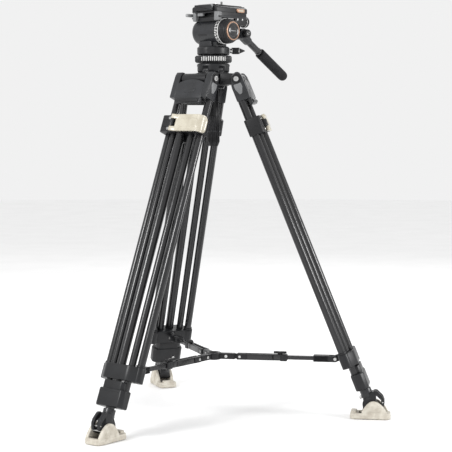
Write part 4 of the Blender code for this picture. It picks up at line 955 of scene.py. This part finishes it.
    def spreader_hub(self) -> None:
        """Spreader hub: a capped disc with three housings, each with a thin tongue for the arm's slot."""
        radius, reach, height = self.hub
        disc = spun(eased([(8, -8), (radius - 1, -8), (radius, -5), (radius, 5), (radius - 1, 8), (11, 8)],
                          1.2), 54)
        cap = spun(eased([(6, 7.6), (11, 7.6), (11, 8.0), (6, 8.0)], 0.2), 40)
        tongue = slab([(10, -6)] + arc((reach, 0), 6.0, -90, 90) + [(10, 6)], -2.9, 2.9, 0.6, Axis.Y)
        housing = block((10, 50.5), (-7.6, 7.6), (-6.8, 6.8), 1.0, 2.0, Axis.X)
        studs = mirrored([screw_head(3.4, 1.1, 1.5).along_y().at(30, 7.4, 0)])
        pin = bar(2.2, -3.1, 3.1, 0.2).along_y().at(reach)
        black = [disc] + self.around([tongue, housing])
        steel = [cap] + self.around([pin] + studs)
        piece("spreader_hub_look", "hub", self.place @ Matrix.Translation((0, 0, height)),
              [(CASTING, black), (STEEL, steel)], ["spreader_hub"])

    def build(self) -> None:
        """Make the crown's pieces."""
        for step in (self.casting, self.half_ball, self.hip_pins, self.tie_down, self.spreader_hub):
            step()


# ------------------------------------------------------------------ head

@dataclass
class Head:
    """Fluid head: pan base, tilt drum, platform, plate and handle.

    Args:
        tilt_height: Height of the tilt axis.
        drum: Radius, left end and right end of the drum.
        housing: Radius, bottom and top of the pan housing.
        ring: Radius, bottom and top of the pan drag ring.
        bed: Half width, front, back, bottom, top and rail top of the plate bed.
        plate: Half width, front, back, bottom and top of the camera plate.
        handle: Rosette place in the head frame, its radius and the socket's radius.
    """

    tilt_height: float = 879.0
    drum: tuple = (29.0, -47.0, 26.7)
    housing: tuple = (37.0, 827.0, 845.5)
    ring: tuple = (42.0, 809.0, 825.0)
    bed: tuple = (38.0, -30.0, 74.0, 29.6, 45.0, 56.0)
    plate: tuple = (27.6, -36.0, 80.0, 45.4, 59.5)
    handle: tuple = (13.0, 11.5)

    def __post_init__(self) -> None:
        """Work out the head's frames from its joints."""
        side, up = axis_of("tilt"), Vector((0, 0, 1))
        pan, tilt = pivot_of("pan"), pivot_of("tilt")
        back = up.cross(side)
        self.place = joint_frame((pan.x, pan.y, 0), back, up)
        self.tilt = joint_frame(tilt, back, up)
        rosette = pivot_of("handle_raise")
        low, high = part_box("handle_grip")
        reach = ((low + high) / 2 - rosette)
        reach = (reach - side * reach.dot(side)).normalized()
        self.grip = joint_frame(rosette, reach, side.cross(reach))
        self.facing = np.degrees(np.arctan2(-side.y, side.x))

    def drag_ring(self) -> None:
        """Pan drag ring: sixty square teeth round a coned band, with white bars towards the front that are
        painted highlights on the teeth.
        """
        radius, low, high = self.ring
        band = eased([(28.9, low), (radius - 3, low), (radius, low + 3), (radius, high - 2.4),
                      (radius - 2.4, high), (28.9, high)], 1.0, 2, True)
        ring = spun(band, 360, Flutes(60, 1.1, radius - 1.2, 0.35), True)
        # White bars only in the sector facing the camera: painted highlights of the teeth, not a printed
        # scale.
        painted_tooth_highlights = [block((radius - 0.9, radius - 0.02), (-0.8, 0.8),
                       (low + 3.4, high - (2.8 if i % 3 else 3.8)), 0.1, 0.2)
                 .turned(-90 + self.facing + (i - 6.5) * 6) for i in range(14)]
        piece("pan_drag_ring_look", "drag_ring", self.place, [(CASTING, [ring]), (PRINT_AND_PAINTED_HIGHLIGHT, painted_tooth_highlights)],
              ["pan_drag_ring"])

    def pan_housing(self) -> None:
        """Pan housing with a flat facet and the cradle under the drum.

        Its radius is the smaller of the round one and that of the facet's plane, its distance over the
        cosine of the angle from the facet's middle.
        """
        radius, low, high = self.housing
        profile = eased([(20, low), (radius - 1.5, low), (radius, low + 2), (radius, high - 3),
                         (radius - 3, high), (20, high)], 1.2)
        angle = np.arange(144) * 2 * pi / 144
        away = angle[None, :] - radians(-100 + self.facing)
        plane = 35.9 / np.maximum(np.cos(away), 0.2)
        grid = np.minimum(np.repeat(profile[:, :1], 144, 1), plane)
        body = loft(np.stack([grid * np.cos(angle), grid * np.sin(angle),
                              np.repeat(profile[:, 1:], 144, 1)], -1))
        bowl = [(y, self.tilt_height - (29.3 ** 2 - y * y) ** 0.5) for y in np.linspace(17, -17, 15)]
        neck = slab([(-17, high - 4), (17, high - 4), *bowl], -27, self.drum[2] - 2, 0.8, Axis.X)
        chin = slab([(-26, high - 3), (14, high - 3), (12, 858), (-24, 858)], -21.5, -16.5, 0.9, Axis.Y, 2.5)
        line = tube_ring(radius - 1, radius + 0.15, low + 4.2, low + 4.8, 0.15, 72)
        piece("pan_housing_look", "pan_head", self.place,
              [(CASTING, [body, neck]), (CASTING_SMOOTH, [chin, line])], ["pan_housing"])

    def pan_lock(self) -> None:
        """Pan lock: banded barrel with a cone point."""
        axis = axis_of("pan_lock_turn")
        place = joint_frame(pivot_of("pan_lock_turn"), Vector((0, 0, 1)).cross(axis), Vector((0, 0, 1)))
        neck = bar(5.4, 37.8, 44.0, 0.4)
        barrel = spun(eased([(5, 43), (7.5, 44), (7.5, 57), (6, 60)], 0.8), 60, Flutes(15, 0.6, 7.2, 1.5))
        cone = spun(eased([(5.6, 59.4), (6.0, 60.4), (1.0, 71.6), (0.4, 72)], 0.4), 32)
        bands = [tube_ring(5.0, 7.6, a, b, 0.3) for a, b in ((41.6, 43.4), (57.6, 59.4))]
        piece("pan_lock_knob_look", "pan_lock", place,
              [(NYLON, [barrel.along_x(), cone.along_x()]),
               (STEEL, [b.along_x() for b in bands] + [neck.along_x()])],
              ["pan_lock_knob"])

    def tilt_drum(self) -> None:
        """Tilt drum: a domed barrel with an edge step, a cover joint and two screws on its front."""
        radius, left, right = self.drum
        shaft = bar(12.0, right - 2, 55.3, 0.4)
        barrel = spun(eased([(10, left), (16, left), (22, left + 2), (26.5, left + 6), (28.4, left + 11),
                             (28.4, left + 12.2), (radius, left + 12.8), (radius, right), (12, right)],
                            1.0), 96)
        lid = spun(eased([(4, left - 0.0), (12, left), (12, left + 1), (4, left + 1)], 0.3), 40)
        joint = tube_ring(radius - 1, radius + 0.12, right - 3.4, right - 2.6, 0.1, 96)
        badge = [block((radius - 0.35, radius + 0.25), (-2.4, 2.4), (-22, 4), 0.2, 1.6, Axis.X).turned(-74)]
        turned = [shell.along_x() for shell in (shaft, barrel, joint)]
        piece("tilt_drum_look", "pan_head", self.tilt,
              [(CASTING_SMOOTH, turned), (CASTING, [lid.along_x()] + [b.along_x() for b in badge]),
               (STEEL, [self.on_drum(1.5, x, a) for x, a in ((-34, 200), (-4, 203))])], ["tilt_drum"])

    def on_drum(self, size: float, x: float, degrees: float) -> Shell:
        """Small screw on the drum's surface at x along it and an angle round it from the back, upwards."""
        return screw_head(size, 0.5, size * 0.45).at(z=self.drum[0] - 0.25).turned(90 - degrees, "X").at(x)

    def scale_ring(self) -> None:
        """Graduated ring that tilts: a knurl-free black band, printed dashes and a pale edge line."""
        radius, low = self.drum[0], self.drum[2] + 0.4
        high = low + 16.0
        ring = spun(eased([(12.4, low), (radius - 0.2, low), (radius - 0.2, low + 10.4),
                           (radius - 1.0, low + 11.4),
                           (radius - 1.0, high), (12.4, high)], 0.6, 2, True), 120, ring=True)
        line = tube_ring(radius - 2, radius, low + 9.4, low + 11.0, 0.2, 120)
        dashes = []
        for i in range(48):
            length = 7.4 if i % 2 == 0 else 4.6
            dash = block((low + 0.9, low + 0.9 + length), (-0.75, 0.75), (radius - 0.6, radius - 0.12), 0.1,
                         0.15)
            dashes.append(dash.turned(i * 7.5, "X"))
        piece("tilt_scale_ring_look", "tilt_bed", self.tilt,
              [(CASTING, [ring.along_x()]), (PRINT_AND_PAINTED_HIGHLIGHT, dashes + [line.along_x()])], ["tilt_scale_ring"])

    def dial(self) -> None:
        """Drag dial: stepped and grooved cone, with its rose trim ring and its gloss cap, which has a pale
        bar across it as a painted glint.
        """
        low = 43.5
        steps = [(12.4, low), (28, low), (28, low + 3.2), (27, low + 3.6), (27, low + 5.0), (27.6, low + 5.4),
                 (27.2, low + 7.4), (25.8, low + 7.8), (25.8, low + 8.8), (26.2, low + 9.2),
                 (25.4, low + 11.2),
                 (24.2, low + 11.6), (24.2, low + 12.4), (24.4, low + 12.8), (23.6, low + 14.3),
                 (22.4, low + 14.6), (12.4, low + 14.6)]
        dial = spun(eased(steps, 0.35, 2, True), 192, Flutes(48, 0.5, 27.5, 0.8), True)
        piece("tilt_drag_dial_look", "drag_dial", self.tilt, [(NYLON, [dial.along_x()])], ["tilt_drag_dial"])
        face = 58.4
        trim = spun(eased([(18.4, face), (21.0, face), (21.0, 60.4), (19.8, 61.3), (18.4, 60.9)], 0.7, 3,
                          True), 96,
                    ring=True)
        well = spun(eased([(15.0, face), (18.5, face), (18.5, 60.6), (16.8, 59.8), (15.0, 59.5)], 0.3, 2,
                          True), 96,
                    ring=True)
        piece("dial_trim_ring_look", "drag_dial", self.tilt,
              [(ROSE_TRIM, [trim.along_x()]), (ABS_GLOSS, [well.along_x()])], ["dial_trim_ring"])
        cap = spun([(14.7, face), (14.7, 59.4), (14.0, 59.9), (11.5, 60.3), (8.5, 60.75), (5, 61.1),
                    (1.5, 61.3)], 72)
        # Pale bar across the cap: a painted glint on the gloss dome.
        painted_glint = block((-0.9, 0.9), (-8.5, 8.5), (60.4, 61.35), 0.2, 0.8)
        piece("dial_cap_look", "drag_dial", self.tilt,
              [(ABS_GLOSS, [cap.along_x()]), (ALLOY, [painted_glint.along_x()])], ["dial_cap"])

    def tilt_lock(self) -> None:
        """Tilt lock: a round boss with a short tapered paddle."""
        up = Vector((0, 0, 1))
        place = joint_frame(pivot_of("tilt_lock_turn"), axis_of("tilt_lock_turn"), up)
        boss = spun(eased([(4, 0.2), (6.5, 0.2), (6.5, 13.8), (4, 13.8)], 1.2), 40).along_y()
        paddle = slab([(-30, -2.5), (0, -5), (0, 5), (-30, 2.5)], 5, 11, 1.5, Axis.Y, 2.0)
        cap = screw_head(3.4, 0.9, 1.6).at(z=13.4).along_y()
        piece("tilt_lock_lever_look", "tilt_lock", place, [(NYLON, [boss, paddle]), (STEEL, [cap])],
              ["tilt_lock_lever"])

    def plate_bed(self) -> None:
        """Plate bed: floor, chamfered rails, corner posts, skirts, rear block and rosette bracket."""
        half, front, back, low, floor, rail = self.bed
        inner = half - 10
        deck = block((-half + 0.6, half - 0.6), (front + 16, back - 0.6), (low + 1, floor), 0.8, 3.0)
        lid = block((-half + 0.6, half - 0.6), (front + 0.6, front + 20), (floor - 4, floor), 0.8, 3.0)
        recess = block((half - 7.5, half + 5), (35.6, 62.4), (floor - 1.4, floor + 8.4), 0.2, 2.0, Axis.X)
        rails = [slab([(inner, floor - 2), (half, floor - 2), (half, rail - 3), (half - 3.5, rail),
                       (inner, rail)],
                      front, back, 1.0, Axis.Y, 1.0)]
        rails.append(slab([(-inner, floor - 2), (-half, floor - 2), (-half, rail - 3), (3.5 - half, rail),
                           (-inner, rail)],
                          front, back, 1.0, Axis.Y, 1.0))
        rails[0] = cut(rails[0], [recess])
        deck = cut(deck, [recess])
        lower_rail = mirrored([block((half - 8, half - 0.2), (front + 3, back - 3), (low + 0.2, low + 6),
                                       0.8, 1.5)], ACROSS_X)
        posts = mirrored([block((half - 11, half - 0.2), (front + 0.4, front + 18), (low - 6, floor + 2),
                                  1.8, 3.5)], ACROSS_X)
        skirt = block((-30, 30), (front + 9, front + 14), (low - 7, low + 3), 1.0, 1.5)
        step = block((-24, -6), (front + 1, front + 9), (low + 5, floor - 2), 1.6, 3.0)
        rear = block((-29, half - 1), (34, back - 1), (low - 14, low + 2), 1.4, 3.0)
        rosette = (59, -3)
        bracket = slab(arc(rosette, 13.0, 180, 360, 16) + [(72, low - 10), (46, low - 10)], 6.1, 19.1, 1.2,
                       Axis.X)
        tooth = ((6, -0.06), (12, -0.06), (12, 0.06), (6, 0.06))
        teeth = [slab([(rosette[0] + r * cos(a + turn), r * sin(a + turn) + rosette[1]) for r, turn in tooth],
                      18.8, 19.35, 0.1, Axis.X) for a in np.linspace(-pi, 0, 13)]
        lug = block((-half - 11, -half + 2), (-20, -8), (low + 0.3, low + 2.9), 0.5, 2.0)
        rod = bar(1.2, 8, 26, 0.3).along_y().at(half - 0.6, 0, low - 0.6)
        clip = [block((half - 1.4, half - 0.1), (y, y + 4), (low - 3.0, low + 1.6), 0.4, 1.0, Axis.X)
                for y in (40, 56)]
        level_place = (-14, back - 1.4, 37)
        vial = spun(eased([(1.5, 0), (5.4, 0), (5.4, 2.0), (4.8, 2.6), (1.5, 2.9)], 0.5),
                    32).along_y().at(*level_place)
        rim = tube_ring(5.2, 6.6, 0, 2.2).along_y().at(*level_place)
        piece("plate_bed_look", "tilt_bed", self.tilt,
              [(CASTING, [deck, lid] + rails + [skirt, rear, bracket, lug, rim] + teeth),
               (CASTING_SMOOTH, lower_rail), (CASTING_PALE_AND_PAINTED_LIGHT, posts + [step]), (STEEL, [rod] + clip),
               (CREAM, [vial])],
              ["plate_bed"])

    def controls(self) -> None:
        """Release button, plate lock lever and counterbalance knob."""
        half, _, _, _, floor, _ = self.bed
        back = axis_of("plate_slide")
        up = Vector((0, 0, 1))
        edge_frame = self.tilt @ Matrix.Translation((half, 0, 0))
        button = block((-4.3, 3.4), (36.2, 61.8), (floor - 0.8, floor + 7.8), 1.6, 3.6, Axis.X)
        dimple = slab(eased([(41, floor + 1.5), (57, floor + 1.5), (57, floor + 5.5), (41, floor + 5.5)], 2,
                            3, True),
                      3.2, 3.5, 0.1, Axis.X)
        piece("release_button_look", "release", edge_frame, [(ROSE_TRIM, [button]), (CREAM, [dimple])],
              ["release_button"])
        lever_frame = joint_frame(pivot_of("plate_lever_swing"), back, up)
        boss = spun(eased([(2, 0.3), (5.6, 0.3), (5.6, 9.0), (2, 9.0)], 1.0), 36)
        arm = slab([(-4.6, -1), (4.4, -1), (4, -20), (1, -27), (-5, -27), (-6.5, -20)], 1.0, 8.0, 1.6,
                   Axis.Z, 2.5)
        cap = screw_head(3.0, 0.7, 1.5).at(z=8.6)
        piece("plate_lock_lever_look", "plate_lever", lever_frame, [(ALLOY, [boss, arm]), (STEEL, [cap])],
              ["plate_lock_lever"])
        knob_frame = joint_frame(pivot_of("counterbalance_turn"), back, up)
        knob = spun(eased([(8, 3.0), (12.2, 3.4), (13, 5.0), (13, 10.6), (11.4, 12.9), (9, 13)], 0.8), 120,
                    Flutes(20, 0.7, 12.6, 1.3)).along_y()
        stem = bar(8.0, 0.2, 4.0, 0.3).along_y()
        rim = tube_ring(12.0, 13.1, 3.0, 4.4, 0.3).along_y()
        face = spun(eased([(2, 12.6), (8.4, 12.6), (8.4, 13.2), (2, 13.2)], 0.2), 48).along_y()
        piece("counterbalance_knob_look", "counterbalance", knob_frame,
              [(NYLON, [knob, stem]), (STEEL, [rim, face])], ["counterbalance_knob"])

    def plate_parts(self) -> None:
        """Camera plate with its guide pin and index lines, the ribbed pads and the camera screw."""
        half, front, back, low, high = self.plate
        outline = [(-half, low), (half, low), (half, low + 4), (half - 1.2, low + 6),
                   (half - 1.2, high - 3), (half - 2.8, high),
                   (2.8 - half, high), (1.2 - half, high - 3), (1.2 - half, low + 6), (-half, low + 4)]
        bore = bar(3.5, low - 2, high + 2, 0.1).at(0, 28)
        pocket = bar(7.4, low - 2, low + 5.4, 0.1).at(0, 28)
        body = cut(slab(outline, front, back, 1.6, Axis.Y, 0.6), [bore, pocket])
        nose = block((-half + 1, half - 1), (front + 0.2, front + 6), (low + 5.5, high + 0.02), 0.8, 2.5)
        pin = spun([(2.2, high - 2), (2.2, high + 5), (1.9, high + 6), (1.2, high + 6.5)], 24).at(0, 10)
        lines = [block((half - 1.6, half - 1.05), (y, y + 0.8), (high - 8 - (2 if i % 2 else 0), high - 4),
                       0.1, 0.1)
                 for i, y in enumerate(np.arange(-24, 70, 6.0))]
        piece("camera_plate_look", "plate", self.tilt,
              [(CASTING, [body]), (ALLOY, [nose]), (STEEL, [pin]), (PRINT_AND_PAINTED_HIGHLIGHT, lines)], ["camera_plate"])
        low_pad, high_pad = high + 0.3, high + 1.5
        frame_bits = [block((-24, 24), (-28, 1.8), (low_pad, high_pad - 0.4), 0.3, 3.0),
                      block((-24, 24), (40.2, 72), (low_pad, high_pad - 0.4), 0.3, 3.0),
                      block((-24, -6.2), (0, 42), (low_pad, high_pad - 0.4), 0.3, 1.0),
                      block((6.2, 24), (0, 42), (low_pad, high_pad - 0.4), 0.3, 1.0)]
        ribs = [block((-23, 23), (y, y + 2.2), (low_pad + 0.3, high_pad), 0.35, 0.8)
                for y in list(np.arange(-26, -2, 3.6)) + list(np.arange(43, 69, 3.6))]
        ribs += [block((x, x + 14), (y, y + 2.2), (low_pad + 0.3, high_pad), 0.35, 0.8)
                 for y in np.arange(2, 40, 3.6) for x in (-22, 8)]
        piece("plate_pad_look", "plate", self.tilt, [(RUBBER, frame_bits + ribs)], ["plate_pad"])
        screw_frame = self.tilt @ Matrix.Translation((0, 28, 0))
        head = spun(eased([(3, low + 0.6), (7, low + 0.6), (7, low + 5), (3, low + 5)], 0.5), 60,
                    Flutes(20, 0.5, 6.8))
        crest = np.arange(high - 3, high + 10, 0.65)
        thread = [(3.1 if i % 2 else 2.6, z) for i, z in enumerate(crest)]
        shaft = spun([(2.9, low + 4)] + thread + [(2.3, high + 11)], 32)
        piece("camera_screw_look", "mount_screw", screw_frame, [(STEEL, [head, shaft])], ["camera_screw"])

    def handle_parts(self) -> None:
        """Pan handle: faceted clamp with knob, anodised bar and foam grip."""
        disc_r, socket = self.handle
        disc = spun(eased([(6, -socket), (disc_r - 0.5, -socket), (disc_r - 0.5, socket), (6, socket)],
                          1.2), 60).along_x()
        facets = spun(eased([(8.6, 4), (socket, 8), (socket, 26), (10.2, 32), (8.5, 32)], 0.8),
                      8).turned(22.5).along_y()
        seam = block((-1.0, 1.0), (12, 32.2), (socket - 3, socket + 0.02), 0.3, 0.4)
        clamp_bolt = screw_head(2.8, 1.1, 1.3).along_x().at(socket * 0.82, 22, 4)
        piece("handle_clamp_look", "handle", self.grip,
              [(CASTING_SMOOTH, [disc, facets]), (CASTING, [seam]), (STEEL, [clamp_bolt])], ["handle_clamp"])
        tube = bar(8.0, 14.5, 78, 0.4).along_y()
        core = bar(5.0, 76, 104, 0.4).along_y()
        stop = spun(eased([(7.9, 70), (8.5, 70), (8.5, 76), (7.9, 76)], 0.4, 2, True), 40,
                    ring=True).along_y()
        along_bar = (self.grip @ Matrix.Rotation(radians(-90), 4, "X")).to_euler()
        bar_finish = anodised("handle_bar", tuple(along_bar))
        piece("handle_bar_look", "handle", self.grip, [(bar_finish, [tube, core, stop])], ["handle_bar"])
        grip = spun(eased([(8.6, 78.4), (10.8, 78.4), (11.8, 80.4), (11.8, 176), (11.0, 181.5),
                           (8.6, 185.6), (5.0, 187.6), (1.0, 188)], 1.6), 64).along_y()
        ring = tube_ring(8.6, 11.9, 80.6, 82.2, 0.5).along_y()
        piece("handle_grip_look", "handle", self.grip, [(FOAM, [grip, ring])], ["handle_grip"])
        knob_frame = self.grip @ Matrix.Translation((socket + 0.4, 0, 0))
        stem = bar(6.0, 0.1, 3.0, 0.2).along_x()
        knob = spun(eased([(6, 2.0), (9.2, 2.4), (10, 4.0), (10, 10.6), (8.5, 12.5), (6, 12.5)], 0.8), 96,
                    Flutes(8, 1.3, 9.6)).along_x()
        cap = spun(eased([(2, 12.2), (5, 12.2), (5, 12.5), (2, 12.5)], 0.1), 32).along_x()
        piece("handle_knob_look", "rosette_knob", knob_frame, [(NYLON, [stem, knob]), (STEEL, [cap])],
              ["handle_knob"])

    def build(self) -> None:
        """Make the head's pieces."""
        for step in (self.drag_ring, self.pan_housing, self.pan_lock, self.tilt_drum, self.scale_ring,
                     self.dial,
                     self.tilt_lock, self.plate_bed, self.controls, self.plate_parts, self.handle_parts):
            step()


# ------------------------------------------------------------------ studio

@dataclass
class Studio:
    """Pale floor, soft lights and the camera.

    Args:
        lens: Focal length on a 36 mm sensor.
        stand_off: Camera's place from the stand's axis, in metres.
        yaw: Camera's turn towards +X, in degrees.
        pitch: Camera's tilt above the horizon, in degrees.
    """

    lens: float = 107.6
    stand_off: tuple = (0.0002, -3.1015, 0.6686)
    yaw: float = 0.527
    pitch: float = -4.29

    def camera(self) -> None:
        """Put the camera at its viewing angle, aimed from the stand's axis."""
        data = bpy.data.cameras.new("camera")
        data.lens, data.sensor_width, data.clip_end = self.lens, 36.0, 60.0
        camera = bpy.data.objects.new("camera", data)
        pan = pivot_of("pan")
        camera.location = (pan.x + self.stand_off[0], pan.y + self.stand_off[1], self.stand_off[2])
        camera.rotation_euler = (radians(90 + self.pitch), 0, radians(-self.yaw))
        bpy.context.scene.collection.objects.link(camera)
        bpy.context.scene.camera = camera

    def light(self, name: str, place: tuple, size: float, power: float) -> None:
        """Add a square softbox aimed at the stand's middle."""
        data = bpy.data.lights.new(name, "AREA")
        data.shape, data.size, data.energy = "SQUARE", size, power
        lamp = bpy.data.objects.new(name, data)
        lamp.location = place
        lamp.rotation_euler = (Vector((0, 0, 0.5)) - Vector(place)).to_track_quat("-Z", "Y").to_euler()
        bpy.context.scene.collection.objects.link(lamp)

    def floor(self) -> None:
        """Add the pale floor: a wide flat disc just under the soles."""
        disc = spun([(9000.0, -9.0), (9000.0, 0.0)], 64)
        made = bpy.data.objects.new("floor", mesh_of([(disc, 0)], Matrix.Scale(MM, 4)))
        bpy.context.scene.collection.objects.link(made)
        made.data.materials.append(PALETTE.of(Finish("pale_floor", "", "fbfbfb", "f8f8f8", 0.9, 0.0, 4.0,
                                                     0.01, 200.0)))

    def build(self) -> None:
        """Set up the studio."""
        world = bpy.data.worlds.new("studio")
        world.use_nodes = True
        ground = world.node_tree.nodes["Background"]
        ground.inputs["Color"].default_value = linear("ffffff")
        ground.inputs["Strength"].default_value = 0.88
        bpy.context.scene.world = world
        bpy.context.scene.view_settings.view_transform = "Standard"
        self.floor()
        self.light("key", (-2.0, -1.8, 1.8), 0.8, 50.0)
        self.light("fill", (2.8, -1.0, 1.2), 0.7, 40.0)
        self.light("back", (0.8, 2.4, 2.2), 1.6, 20.0)
        self.camera()


def main() -> None:
    """Build the studio and every sub-assembly in turn."""
    logging.basicConfig(level=logging.INFO, format="%(name)s %(message)s")
    Studio().build()
    Crown().build()
    for name in LEG_NAMES:
        Leg(name).build()
    Head().build()


if __name__ == "__main__":
    main()
